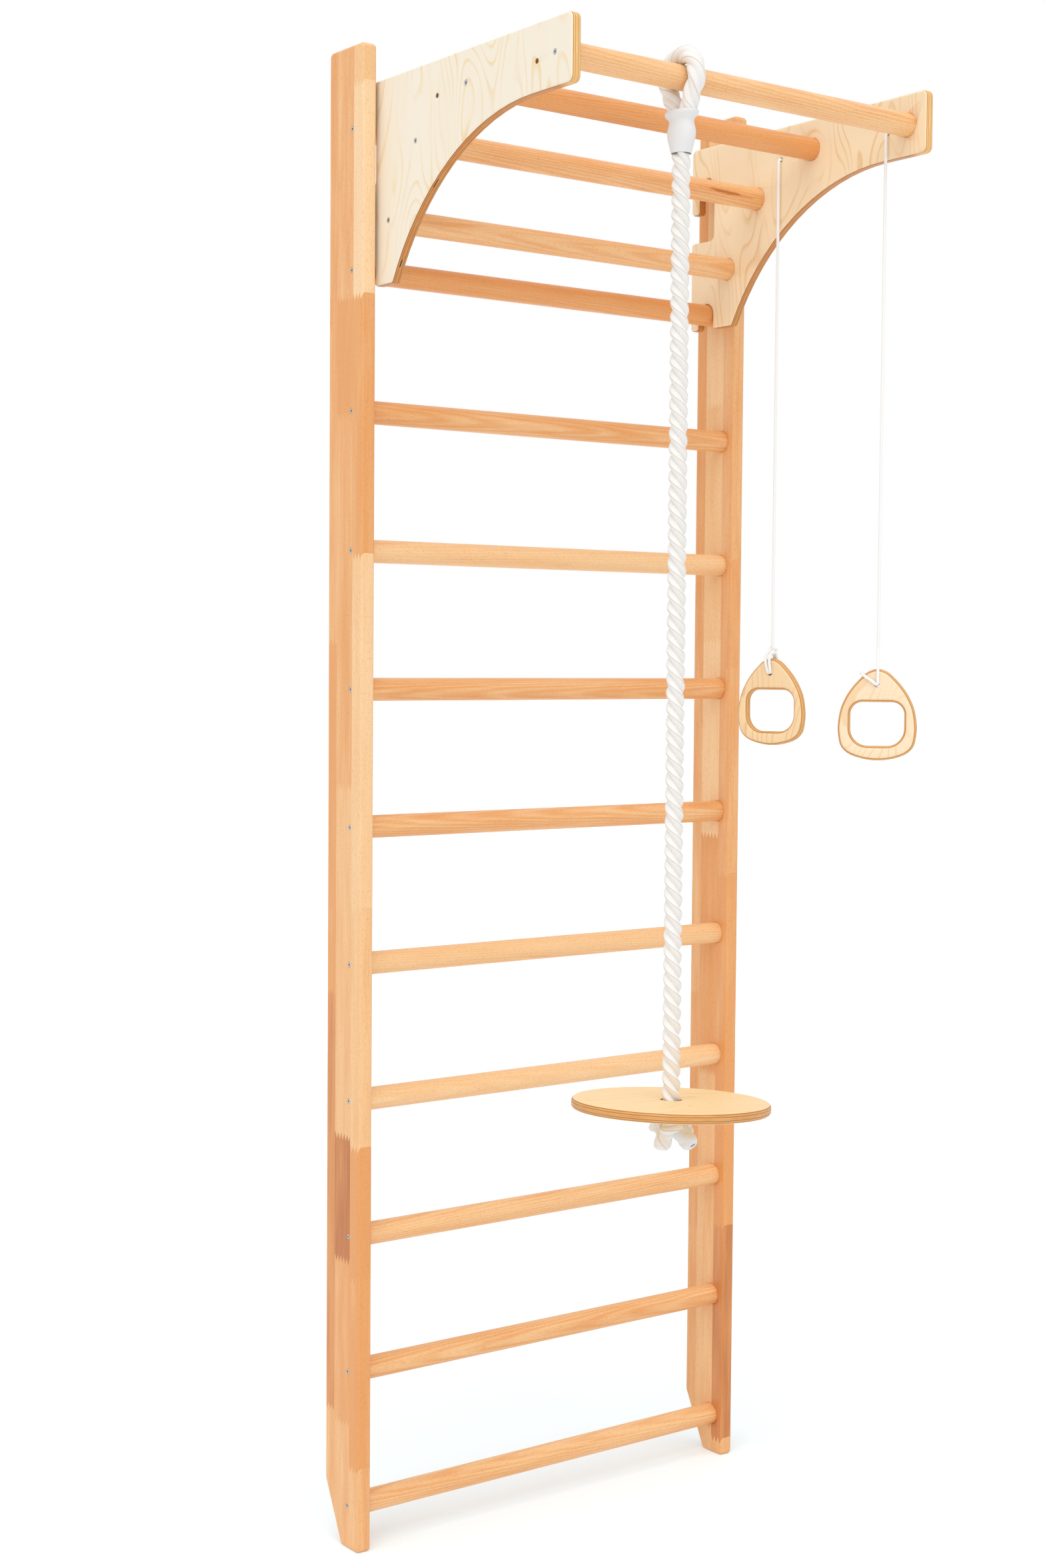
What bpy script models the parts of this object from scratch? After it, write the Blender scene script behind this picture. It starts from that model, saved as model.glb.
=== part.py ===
"""Gymnastic wall bars with a hook-on pull-up canopy, a climbing rope with a seat disc, and two hand rings.

Metres, +Z up. The user stands on the -Y side and the wall is on the +Y side. The origin lies on the floor,
in the middle of the overall width and of the overall depth.
"""

import math

import bmesh
import bpy
from mathutils import Matrix, Vector

# Ladder
LADDER_WIDTH = 0.800
LADDER_HEIGHT = 2.400
UPRIGHT_THICKNESS = 0.025
UPRIGHT_DEPTH = 0.100
UPRIGHT_EDGE_ROUND = 0.004
UPRIGHT_CORNER_ROUND = 0.008
UPRIGHT_FOOT_ROUND = 0.006
SKIRTING_CUT_HEIGHT = 0.097
SKIRTING_CUT_DEPTH = 0.048
RUNG_COUNT = 11
LOWEST_RUNG_HEIGHT = 0.070
TOP_RUNG_DROP = 0.130
RUNG_DIAMETER = 0.037
RUNG_SETBACK = 0.032
RUNG_SOCKET_DEPTH = 0.015

# Screws that hold the rungs and the canopy bars from outside
SCREW_HEAD_DIAMETER = 0.008
SCREW_HEAD_LENGTH = 0.004
SCREW_SHANK_DIAMETER = 0.005
SCREW_TIP_LENGTH = 0.004
SCREW_GRIP = 0.030
SCREW_KEY_WIDTH = 0.004
SCREW_KEY_DEPTH = 0.0025
SCREW_SINK = 0.0003

# Canopy: two plywood cheeks and four bars, hooked over the two highest rungs
CANOPY_WIDTH = 0.720
CANOPY_LEFT_GAP = 0.006
CHEEK_THICKNESS = 0.016
CHEEK_EDGE_ROUND = 0.003
CHEEK_REACH = 0.495
CHEEK_RISE = 0.074
CHEEK_TAIL = 0.040
CHEEK_HEEL_DROP = 0.025
CHEEK_TOE_AHEAD = 0.068
CHEEK_CORNER_ROUND = 0.010
CHEEK_SMALL_ROUND = 0.006
NOSE_DEPTH = 0.098
NOSE_FLAT = 0.095
HOOK_TIP_DROP = 0.041
HOOK_SLOT_DROP = 0.090
BAR_DIAMETER = 0.037
BAR_SOCKET_DEPTH = 0.008
BAR_SETBACKS = (0.0405, 0.2600, 0.3945, 0.4700)
BAR_DROPS = (0.0495, 0.0495, 0.1110, 0.2205)
CORD_HOLE_DIAMETER = 0.008
CORD_HOLE_SETBACKS = {"front": 0.083, "rear": 0.3355}
CORD_HOLE_DROP = 0.054

# Climbing rope, its bound eye, the seat disc and the stopper knot
ROPE_X = -0.135
ROPE_DIAMETER = 0.028
EYE_LEG_SPREAD = 0.031
EYE_LEG_RISE = 0.0035
SLEEVE_DROP = 0.049
SLEEVE_LENGTH = 0.061
SLEEVE_WIDTH = 0.040
SLEEVE_TOP_DEPTH = 0.062
SLEEVE_END_DEPTH = 0.042
SLEEVE_LIP = 0.005
SLEEVE_WAIST = 0.92
SLEEVE_END_WAIST = 0.85
SEAT_DROP = 1.5125
SEAT_DIAMETER = 0.300
SEAT_THICKNESS = 0.016
SEAT_EDGE_ROUND = 0.005
KNOT_HEIGHT = 0.0575
KNOT_WIDTH = 0.076
KNOT_SWELL = 1.55
KNOT_SWELL_SPAN = 3.0
KNOT_TURN = math.radians(-37)
# Leg of the knot from its end up: shares of the half width and of the height
KNOT_LEG = ((1.0, 1.0), (1.0, 0.70), (0.55, 0.42))

# Hand rings and their cords
RING_WIDTH = 0.128
RING_HEIGHT = 0.149
RING_THICKNESS = 0.017
RING_EDGE_ROUND = 0.005
RING_HOLE_DROP = 0.025
RING_HOLE_DIAMETER = 0.008
# Half outline of a ring from beside its top: shares of the half width and of the height
RING_OUTLINE = (
    (0.24, 0.030),
    (0.43, 0.100),
    (0.63, 0.195),
    (0.80, 0.305),
    (0.935, 0.440),
    (1.0, 0.610),
    (0.985, 0.740),
    (0.91, 0.855),
    (0.70, 0.935),
    (0.36, 0.983),
)
GRIP_WIDTH = 0.087
GRIP_TOP_DROP = 0.054
GRIP_HEIGHT = 0.071
GRIP_TOP_ROUND = 0.018
GRIP_LOW_ROUND = 0.026
RING_TURNS = {"front": math.radians(-51), "rear": math.radians(-71)}
CORD_DIAMETER = 0.005
CORD_KNOT_DIAMETER = 0.013
CORD_KNOT_LENGTH = 0.012
CORD_STANDOFF = 0.005
CORD_BEND_DROP = 0.030
CORD_DROPS = {"front": 0.861, "rear": 0.845}
# Knot in a ring cord: shares of its length, and of its full swelling
STOPPER_PROFILE = ((1.0, 0.2), (0.85, 0.8), (0.5, 1.0), (0.15, 0.9), (0.0, 0.8))
RING_KNOT_PROFILE = ((0.15, 0.8), (0.5, 1.0), (0.85, 0.8), (1.0, 0.25))
# Half of the cord loop from the ring's hole up: shares of the reach beside the ring and of the height
LOOP_ROUTE = ((0.5, 0.0), (0.95, 0.03), (1.1, 0.194), (1.05, 0.453), (0.75, 0.797))

# Clearances
SEAT_CLEARANCE = 0.0004
TOUCH_GAP = 0.0003
HOOK_CLEARANCE = 0.0005

# Facets of round pieces, and the angle that parts a sharp edge from a smooth one
SHARP_ANGLE = math.radians(40)
EDGE_STEPS = 2
BAR_SIDES = 16
SCREW_SIDES = 12
HOLE_SIDES = 8
SEAT_SIDES = 40
ROPE_SIDES = 12
CORD_SIDES = 8
ARC_STEPS = 4
EYE_LEG_STEPS = 5
RING_STEPS = 32
ROPE_SPANS = 10
CORD_SPANS = 8
DOME_SHARES = (0.98, 0.85, 0.55)

# Places worked out from the sizes
OVERALL_DEPTH = UPRIGHT_DEPTH + CHEEK_REACH - BAR_SETBACKS[0] + SEAT_DIAMETER / 2
WALL_Y = OVERALL_DEPTH / 2
FRONT_Y = WALL_Y - UPRIGHT_DEPTH
RUNG_Y = FRONT_Y + RUNG_SETBACK
RUNG_SPACING = (LADDER_HEIGHT - LOWEST_RUNG_HEIGHT - TOP_RUNG_DROP) / (RUNG_COUNT - 1)
RUNG_HEIGHTS = [LOWEST_RUNG_HEIGHT + index * RUNG_SPACING for index in range(RUNG_COUNT)]
CHEEK_FRONT_Y = FRONT_Y - CHEEK_REACH
CHEEK_TOP_Z = RUNG_HEIGHTS[-1] + CHEEK_RISE
CANOPY_LEFT_X = -LADDER_WIDTH / 2 + UPRIGHT_THICKNESS + CANOPY_LEFT_GAP
CANOPY_RIGHT_X = CANOPY_LEFT_X + CANOPY_WIDTH

COLOURS = {
    "beech": (0.72, 0.45, 0.24),
    "birch": (0.80, 0.58, 0.34),
    "steel": (0.62, 0.62, 0.62),
    "rope": (0.86, 0.84, 0.80),
}
ROUGHNESS = {"beech": 0.45, "birch": 0.45, "steel": 0.30, "rope": 0.90}


def clear_scene():
    for item in list(bpy.data.objects):
        bpy.data.objects.remove(item, do_unlink=True)


def finish(name, kind):
    """Principled material of one piece."""
    material = bpy.data.materials.new(name + "_finish")
    material.use_nodes = True
    shader = material.node_tree.nodes["Principled BSDF"]
    shader.inputs["Base Color"].default_value = (*COLOURS[kind], 1.0)
    shader.inputs["Roughness"].default_value = ROUGHNESS[kind]
    shader.inputs["Metallic"].default_value = 1.0 if kind == "steel" else 0.0
    return material


def world_origin(item):
    """Sum of the plain translations from an object up through its parents."""
    total = Vector((0.0, 0.0, 0.0))
    while item is not None:
        total += item.location
        item = item.parent
    return total


def place(item, location, parent=None):
    """Link an object and put its origin at a world point under a parent."""
    bpy.context.scene.collection.objects.link(item)
    item.parent = parent
    item.location = Vector(location) - world_origin(parent)
    return item


def pivot(name, location, parent=None):
    """Empty on the axis of a moving group."""
    return place(bpy.data.objects.new(name, None), location, parent)


def piece(name, data, kind, location, parent=None, turn=0.0):
    """Named sub-part with its own material."""
    data.materials.append(finish(name, kind))
    item = place(bpy.data.objects.new(name, data), location, parent)
    item.rotation_euler.z = turn
    return item


def cut_with(item, name, bm, parent=None):
    """Cut an object by a hidden tool whose mesh is given in world coordinates."""
    origin = world_origin(parent)
    bmesh.ops.translate(bm, verts=bm.verts, vec=-origin)
    tool = place(bpy.data.objects.new(name, mesh_from(bm, name)), origin, parent)
    tool.hide_render = True
    tool.display_type = "WIRE"
    modifier = item.modifiers.new(name, "BOOLEAN")
    modifier.operation = "DIFFERENCE"
    modifier.object = tool
    return tool


def round_edges(item, width):
    modifier = item.modifiers.new("edge_round", "BEVEL")
    modifier.width = width
    modifier.segments = EDGE_STEPS
    modifier.limit_method = "ANGLE"
    modifier.angle_limit = SHARP_ANGLE


def mesh_from(bm, name):
    """Finish a bmesh: outward faces, smooth shading with sharp corners."""
    bmesh.ops.recalc_face_normals(bm, faces=bm.faces)
    mesh = bpy.data.meshes.new(name)
    bm.to_mesh(mesh)
    bm.free()
    mesh.shade_smooth()
    mesh.set_sharp_from_angle(angle=SHARP_ANGLE)
    return mesh


def join_rings(bm, rings, closed=False):
    """Faces between neighbouring rings of vertices; a ring of one vertex is a pole."""
    pairs = list(zip(rings, rings[1:]))
    if closed:
        pairs.append((rings[-1], rings[0]))
    for first, second in pairs:
        count = max(len(first), len(second))
        for index in range(count):
            after = (index + 1) % count
            corners = []
            for vertex in (
                first[index % len(first)],
                first[after % len(first)],
                second[after % len(second)],
                second[index % len(second)],
            ):
                if vertex not in corners:
                    corners.append(vertex)
            bm.faces.new(corners)


def turned(bm, stations, sides, axis="X", origin=(0.0, 0.0, 0.0), direction=1.0, hexagonal=()):
    """Revolve (along, radius) stations about an axis; the stations listed as hexagonal are six-sided."""
    base = Vector(origin)
    rings = []
    for index, (along, radius) in enumerate(stations):
        ring = []
        for side in range(sides if radius > 0.0 else 1):
            angle = 2 * math.pi * side / sides
            reach = radius
            if index in hexagonal:
                from_flat = (angle + math.pi / 6) % (math.pi / 3) - math.pi / 6
                reach = radius / math.cos(from_flat)
            across = reach * math.cos(angle)
            other = reach * math.sin(angle)
            if axis == "X":
                offset = Vector((direction * along, across, other))
            else:
                offset = Vector((across, other, direction * along))
            ring.append(bm.verts.new(base + offset))
        rings.append(ring)
    join_rings(bm, rings)


def turned_mesh(name, stations, sides, axis="X", hexagonal=()):
    bm = bmesh.new()
    turned(bm, stations, sides, axis, hexagonal=hexagonal)
    return mesh_from(bm, name)


def arc(centre, radius, start, end, steps):
    """Points on an arc, in the (y, z) plane, from one angle to another in degrees."""
    points = []
    for step in range(steps + 1):
        angle = math.radians(start + (end - start) * step / steps)
        points.append((centre[0] + radius * math.cos(angle), centre[1] + radius * math.sin(angle)))
    return points


def rounded(corners):
    """Outline of (y, z, radius) corners, each rounded by an arc tangent to its two sides."""
    outline = []
    for index, (y, z, radius) in enumerate(corners):
        here = Vector((y, z))
        back = (Vector(corners[index - 1][:2]) - here).normalized()
        ahead = (Vector(corners[(index + 1) % len(corners)][:2]) - here).normalized()
        if radius == 0.0:
            outline.append((y, z))
            continue
        half = back.angle(ahead) / 2
        middle = here + (back + ahead).normalized() * (radius / math.sin(half))
        start = here + back * (radius / math.tan(half)) - middle
        finish_point = here + ahead * (radius / math.tan(half)) - middle
        sweep = start.angle_signed(finish_point)
        for step in range(ARC_STEPS + 1):
            turn = -sweep * step / ARC_STEPS
            outline.append(
                (
                    middle.x + start.x * math.cos(turn) - start.y * math.sin(turn),
                    middle.y + start.x * math.sin(turn) + start.y * math.cos(turn),
                )
            )
    return outline


def board_mesh(name, outline, thickness):
    """Board with a (y, z) outline, from x = 0 to its thickness."""
    bm = bmesh.new()
    near = [bm.verts.new((0.0, y, z)) for y, z in outline]
    far = [bm.verts.new((thickness, y, z)) for y, z in outline]
    bm.faces.new(near)
    bm.faces.new(list(reversed(far)))
    join_rings(bm, [near, far])
    return mesh_from(bm, name)


def smooth_path(points, steps, cyclic=False):
    """Points read from a Catmull-Rom curve through the route's own points."""
    route = [Vector(point) for point in points]
    count = len(route)
    path = []
    for index in range(count if cyclic else count - 1):
        if cyclic:
            p0, p1, p2, p3 = (route[(index + shift) % count] for shift in (-1, 0, 1, 2))
        else:
            p0 = route[max(index - 1, 0)]
            p1 = route[index]
            p2 = route[index + 1]
            p3 = route[min(index + 2, count - 1)]
        for step in range(steps):
            t = step / steps
            path.append(
                0.5 * (2 * p1 + (p2 - p0) * t + (2 * p0 - 5 * p1 + 4 * p2 - p3) * t * t)
                + 0.5 * (3 * p1 - p0 - 3 * p2 + p3) * t * t * t
            )
    if not cyclic:
        path.append(route[-1])
    return path


def tube_curve(name, path, diameter, sides, swell=None, cyclic=False):
    """Round tube along a path, with filled ends; swell gives a radius factor for each point."""
    curve = bpy.data.curves.new(name, "CURVE")
    curve.dimensions = "3D"
    curve.bevel_depth = diameter / 2
    curve.bevel_resolution = (sides - 4) // 2
    curve.use_fill_caps = True
    spline = curve.splines.new("POLY")
    spline.points.add(len(path) - 1)
    for index, point in enumerate(path):
        spline.points[index].co = (*point, 1.0)
        spline.points[index].radius = swell[index] if swell else 1.0
    spline.use_cyclic_u = cyclic
    return curve


def screw_mesh(name, web):
    """Countersunk hexagon-socket screw with its head just below x = 0; web is the board under the socket."""
    head_end = SCREW_SINK + SCREW_HEAD_LENGTH
    tip = web + SEAT_CLEARANCE + SCREW_GRIP
    stations = [
        (SCREW_SINK + SCREW_KEY_DEPTH, 0.0),
        (SCREW_SINK + SCREW_KEY_DEPTH, SCREW_KEY_WIDTH / 2),
        (SCREW_SINK, SCREW_KEY_WIDTH / 2),
        (SCREW_SINK, SCREW_HEAD_DIAMETER / 2),
        (head_end, SCREW_SHANK_DIAMETER / 2),
        (tip - SCREW_TIP_LENGTH, SCREW_SHANK_DIAMETER / 2),
        (tip, 0.0),
    ]
    return turned_mesh(name, stations, SCREW_SIDES, hexagonal=(1, 2))


def bar_mesh(name, length, diameter):
    """Round bar along X with a pilot hole for a screw in each end."""
    end = length / 2
    pilot = SCREW_SHANK_DIAMETER / 2 + SEAT_CLEARANCE
    pilot_end = end - SCREW_GRIP - SEAT_CLEARANCE
    radius = diameter / 2
    half = [(pilot_end, 0.0), (pilot_end, pilot), (end, pilot), (end, radius)]
    stations = [(-along, reach) for along, reach in half] + list(reversed(half))
    return turned_mesh(name, stations, BAR_SIDES)


def add_socket(bm, origin, direction, thickness, depth, diameter):
    """Round socket for the end of a bar in a board's inner face; the outer face is at the origin."""
    radius = (diameter / 2 + SEAT_CLEARANCE) / math.cos(math.pi / BAR_SIDES)
    start = thickness - depth
    end = thickness + depth
    stations = [(start, 0.0), (start, radius), (end, radius), (end, 0.0)]
    turned(bm, stations, BAR_SIDES, "X", origin, direction)


def add_screw_hole(bm, origin, direction, web):
    """Countersink and shank hole from a board's outer face through to the socket."""
    facet = math.cos(math.pi / HOLE_SIDES)
    head = (SCREW_HEAD_DIAMETER / 2 + SEAT_CLEARANCE) / facet
    shank = (SCREW_SHANK_DIAMETER / 2 + SEAT_CLEARANCE) / facet
    head_end = SCREW_SINK + SCREW_HEAD_LENGTH
    past = SCREW_HEAD_LENGTH
    stations = [
        (-past, 0.0),
        (-past, head),
        (SCREW_SINK, head),
        (head_end, shank),
        (web + past, shank),
        (web + past, 0.0),
    ]
    turned(bm, stations, HOLE_SIDES, "X", origin, direction)


def add_bore(bm, origin, length, diameter):
    """Plain hole along X, centred on a point."""
    radius = diameter / 2 / math.cos(math.pi / HOLE_SIDES)
    stations = [(-length / 2, 0.0), (-length / 2, radius), (length / 2, radius), (length / 2, 0.0)]
    turned(bm, stations, HOLE_SIDES, origin=origin)


def upright_outline():
    """Side view of an upright: round corners, and a slanted cut that clears a skirting board."""
    return rounded(
        [
            (FRONT_Y, 0.0, UPRIGHT_FOOT_ROUND),
            (FRONT_Y, LADDER_HEIGHT, UPRIGHT_CORNER_ROUND),
            (WALL_Y, LADDER_HEIGHT, UPRIGHT_CORNER_ROUND),
            (WALL_Y, SKIRTING_CUT_HEIGHT, 0.0),
            (WALL_Y - SKIRTING_CUT_DEPTH, 0.0, 0.0),
        ]
    )


def build_ladder():
    outline = upright_outline()
    web = UPRIGHT_THICKNESS - RUNG_SOCKET_DEPTH
    screw = screw_mesh("rung_screw", web)
    for side, direction in (("left", 1.0), ("right", -1.0)):
        outer_x = -direction * LADDER_WIDTH / 2
        start_x = min(outer_x, outer_x + direction * UPRIGHT_THICKNESS)
        board = board_mesh(side + "_upright", outline, UPRIGHT_THICKNESS)
        upright = piece(side + "_upright", board, "beech", (start_x, 0.0, 0.0))
        round_edges(upright, UPRIGHT_EDGE_ROUND)
        sockets = bmesh.new()
        screw_holes = bmesh.new()
        for height in RUNG_HEIGHTS:
            origin = (outer_x, RUNG_Y, height)
            add_socket(sockets, origin, direction, UPRIGHT_THICKNESS, RUNG_SOCKET_DEPTH, RUNG_DIAMETER)
            add_screw_hole(screw_holes, origin, direction, web)
        cut_with(upright, side + "_rung_sockets", sockets)
        cut_with(upright, side + "_rung_screw_holes", screw_holes)
        for number, height in enumerate(RUNG_HEIGHTS, 1):
            name = f"{side}_rung_screw_{number:02d}"
            turn = 0.0 if direction > 0 else math.pi
            piece(name, screw.copy(), "steel", (outer_x, RUNG_Y, height), turn=turn)
    length = LADDER_WIDTH - 2 * (web + SEAT_CLEARANCE)
    for number, height in enumerate(RUNG_HEIGHTS, 1):
        name = f"ladder_rung_{number:02d}"
        piece(name, bar_mesh(name, length, RUNG_DIAMETER), "beech", (0.0, RUNG_Y, height))


def cheek_outline():
    """Side view of a cheek: nose, swept lower edge, and two hooks open to the rungs they hang on."""
    upper_z = RUNG_HEIGHTS[-1]
    lower_z = RUNG_HEIGHTS[-2]
    notch = RUNG_DIAMETER / 2 + HOOK_CLEARANCE
    tail_y = RUNG_Y + CHEEK_TAIL
    heel_z = lower_z - CHEEK_HEEL_DROP
    nose_z = CHEEK_TOP_Z - NOSE_DEPTH
    sweep_y = CHEEK_FRONT_Y + NOSE_FLAT
    toe_y = RUNG_Y - CHEEK_TOE_AHEAD
    run = toe_y - sweep_y
    drop = nose_z - heel_z
    sweep_radius = (run * run + drop * drop) / (2 * drop)
    sweep_end = math.degrees(math.atan2(sweep_radius - drop, run))
    large = CHEEK_CORNER_ROUND
    small = CHEEK_SMALL_ROUND
    corners = [(CHEEK_FRONT_Y, CHEEK_TOP_Z, large), (tail_y, CHEEK_TOP_Z, large)]
    tip_z = upper_z - HOOK_TIP_DROP
    slot_z = upper_z - HOOK_SLOT_DROP
    corners += [(tail_y, tip_z, small), (RUNG_Y + notch, tip_z, small)]
    corners += [(y, z, 0.0) for y, z in arc((RUNG_Y, upper_z), notch, 0.0, 180.0, 2 * ARC_STEPS)]
    corners += [(RUNG_Y - notch, slot_z, large), (tail_y, slot_z, small)]
    corners += [(tail_y, heel_z, small), (RUNG_Y + notch, heel_z, small)]
    corners += [(y, z, 0.0) for y, z in arc((RUNG_Y, lower_z), notch, 0.0, 180.0, 2 * ARC_STEPS)]
    corners += [(RUNG_Y - notch, heel_z, small), (toe_y, heel_z, 0.0)]
    sweep = arc((sweep_y, nose_z - sweep_radius), sweep_radius, sweep_end, 90.0, 4 * ARC_STEPS)
    corners += [(y, z, 0.0) for y, z in sweep[1:]]
    corners += [(CHEEK_FRONT_Y, nose_z, large)]
    return rounded(corners)


def build_canopy(root):
    outline = [(y - root.location.y, z - root.location.z) for y, z in cheek_outline()]
    bars = []
    for setback, drop in zip(BAR_SETBACKS, BAR_DROPS):
        bars.append((CHEEK_FRONT_Y + setback, CHEEK_TOP_Z - drop))
    holes = []
    for setback in CORD_HOLE_SETBACKS.values():
        holes.append((CHEEK_FRONT_Y + setback, CHEEK_TOP_Z - CORD_HOLE_DROP))
    web = CHEEK_THICKNESS - BAR_SOCKET_DEPTH
    screw = screw_mesh("bar_screw", web)
    for side, direction in (("left", 1.0), ("right", -1.0)):
        outer_x = CANOPY_LEFT_X if direction > 0 else CANOPY_RIGHT_X
        start_x = min(outer_x, outer_x + direction * CHEEK_THICKNESS)
        board = board_mesh(side + "_cheek", outline, CHEEK_THICKNESS)
        corner = (start_x, root.location.y, root.location.z)
        cheek = piece(side + "_cheek", board, "birch", corner, root)
        round_edges(cheek, CHEEK_EDGE_ROUND)
        sockets = bmesh.new()
        screw_holes = bmesh.new()
        for y, z in bars:
            origin = (outer_x, y, z)
            add_socket(sockets, origin, direction, CHEEK_THICKNESS, BAR_SOCKET_DEPTH, BAR_DIAMETER)
            add_screw_hole(screw_holes, origin, direction, web)
        for y, z in holes:
            middle = (start_x + CHEEK_THICKNESS / 2, y, z)
            add_bore(screw_holes, middle, 2 * CHEEK_THICKNESS, CORD_HOLE_DIAMETER)
        cut_with(cheek, side + "_bar_sockets", sockets, root)
        cut_with(cheek, side + "_cheek_holes", screw_holes, root)
        for number, (y, z) in enumerate(bars, 1):
            turn = 0.0 if direction > 0 else math.pi
            piece(f"{side}_bar_screw_{number}", screw.copy(), "steel", (outer_x, y, z), root, turn)
    length = CANOPY_WIDTH - 2 * (web + SEAT_CLEARANCE)
    middle_x = CANOPY_LEFT_X + CANOPY_WIDTH / 2
    names = ("pull_up_bar", "upper_bar", "middle_bar", "lower_bar")
    for name, (y, z) in zip(names, bars):
        piece(name, bar_mesh(name, length, BAR_DIAMETER), "beech", (middle_x, y, z), root)


def rope_eye_path():
    """Rope over the pull-up bar, from one leg at the sleeve round to the other, about the bar's axis."""
    reach = (BAR_DIAMETER + ROPE_DIAMETER) / 2 + SEAT_CLEARANCE
    steps = 4 * ARC_STEPS
    reach /= math.cos(math.pi / steps)
    leg_y = EYE_LEG_SPREAD / 2
    leg_z = -SLEEVE_DROP + TOUCH_GAP
    bend_z = leg_z + EYE_LEG_RISE
    tail = [(0.0, leg_y, leg_z)]
    for step in range(EYE_LEG_STEPS):
        share = step / EYE_LEG_STEPS
        ease = share * share * (3.0 - 2.0 * share)
        tail.append((0.0, leg_y + (reach - leg_y) * ease, bend_z * (1.0 - share)))
    over = [(0.0, y, z) for y, z in arc((0.0, 0.0), reach, 0.0, 180.0, steps // 2)]
    mirrored = [(0.0, -point[1], point[2]) for point in reversed(tail)]
    return tail + over + mirrored


def oval_mesh(name, stations, sides):
    """Closed loft along Z through (z, half width, half depth) ovals."""
    bm = bmesh.new()
    rings = []
    for z, half_x, half_y in stations:
        ring = []
        for side in range(sides):
            angle = 2 * math.pi * side / sides
            ring.append(bm.verts.new((half_x * math.cos(angle), half_y * math.sin(angle), z)))
        rings.append(ring)
    join_rings(bm, rings)
    bm.faces.new(rings[0])
    bm.faces.new(list(reversed(rings[-1])))
    return mesh_from(bm, name)


def build_rope(canopy):
    bar_y = CHEEK_FRONT_Y + BAR_SETBACKS[0]
    bar_z = CHEEK_TOP_Z - BAR_DROPS[0]
    rope_radius = ROPE_DIAMETER / 2
    swing = pivot("rope_swing_axis", (ROPE_X, bar_y, bar_z), canopy)
    eye = tube_curve("rope_eye", rope_eye_path(), ROPE_DIAMETER, ROPE_SIDES)
    piece("rope_eye", eye, "rope", (ROPE_X, bar_y, bar_z), swing)
    sleeve_end = -SLEEVE_DROP - SLEEVE_LENGTH
    half_width = SLEEVE_WIDTH / 2
    top_depth = SLEEVE_TOP_DEPTH / 2
    end_depth = SLEEVE_END_DEPTH / 2
    sleeve = [
        (-SLEEVE_DROP, half_width, top_depth),
        (-SLEEVE_DROP - SLEEVE_LIP, half_width, top_depth),
        (-SLEEVE_DROP - 2 * SLEEVE_LIP, SLEEVE_WAIST * half_width, SLEEVE_WAIST * top_depth),
        (sleeve_end + SLEEVE_LIP, SLEEVE_WAIST * half_width, end_depth),
        (sleeve_end, SLEEVE_END_WAIST * half_width, SLEEVE_WAIST * end_depth),
    ]
    piece("rope_sleeve", oval_mesh("rope_sleeve", sleeve, BAR_SIDES), "rope", (ROPE_X, bar_y, bar_z), swing)

    bend_z = bar_z + sleeve_end - TOUCH_GAP - rope_radius
    sway = pivot("rope_sway_axis", (ROPE_X, bar_y, bend_z), swing)
    seat_top = bar_z - SEAT_DROP
    knot_top = seat_top - SEAT_THICKNESS - TOUCH_GAP
    path = [(0.0, 0.0, share * rope_radius) for share in DOME_SHARES]
    swell = [math.sqrt(1.0 - share * share) for share in DOME_SHARES]
    for step in range(ROPE_SPANS + 1):
        path.append((0.0, 0.0, (knot_top + TOUCH_GAP - bend_z) * step / ROPE_SPANS))
        swell.append(1.0)
    rope = tube_curve("climbing_rope", path, ROPE_DIAMETER, ROPE_SIDES, swell)
    piece("climbing_rope", rope, "rope", (ROPE_X, bar_y, bend_z), sway)

    half = KNOT_WIDTH / 2 - rope_radius
    crown = -KNOT_SWELL * rope_radius
    leg = [(-half * across, 0.0, -KNOT_HEIGHT * down) for across, down in KNOT_LEG]
    route = leg + [(0.0, 0.0, crown)] + [(-x, y, z) for x, y, z in reversed(leg)]
    path = smooth_path(route, EDGE_STEPS + 1)
    middle = (len(path) - 1) / 2
    swell = []
    for index in range(len(path)):
        away = (index - middle) / KNOT_SWELL_SPAN
        swell.append(1.0 + (KNOT_SWELL - 1.0) * math.exp(-away * away))
    knot = tube_curve("rope_knot", path, ROPE_DIAMETER, ROPE_SIDES, swell)
    piece("rope_knot", knot, "rope", (ROPE_X, bar_y, knot_top), sway, KNOT_TURN)

    hole = rope_radius + SEAT_CLEARANCE
    edge = SEAT_DIAMETER / 2
    corner = [
        (SEAT_EDGE_ROUND * (1.0 - math.cos(angle)), edge - SEAT_EDGE_ROUND * (1.0 - math.sin(angle)))
        for angle in (0.0, math.pi / 4, math.pi / 2)
    ]
    under = [(along - SEAT_THICKNESS, reach) for along, reach in corner]
    above = [(-along, reach) for along, reach in reversed(corner)]
    profile = [(-SEAT_THICKNESS, hole)] + under + above + [(0.0, hole)]
    bm = bmesh.new()
    turned(bm, profile + profile[:1], SEAT_SIDES, axis="Z")
    bmesh.ops.remove_doubles(bm, verts=bm.verts, dist=1e-6)
    piece("seat_disc", mesh_from(bm, "seat_disc"), "birch", (ROPE_X, bar_y, seat_top), sway)


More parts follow.
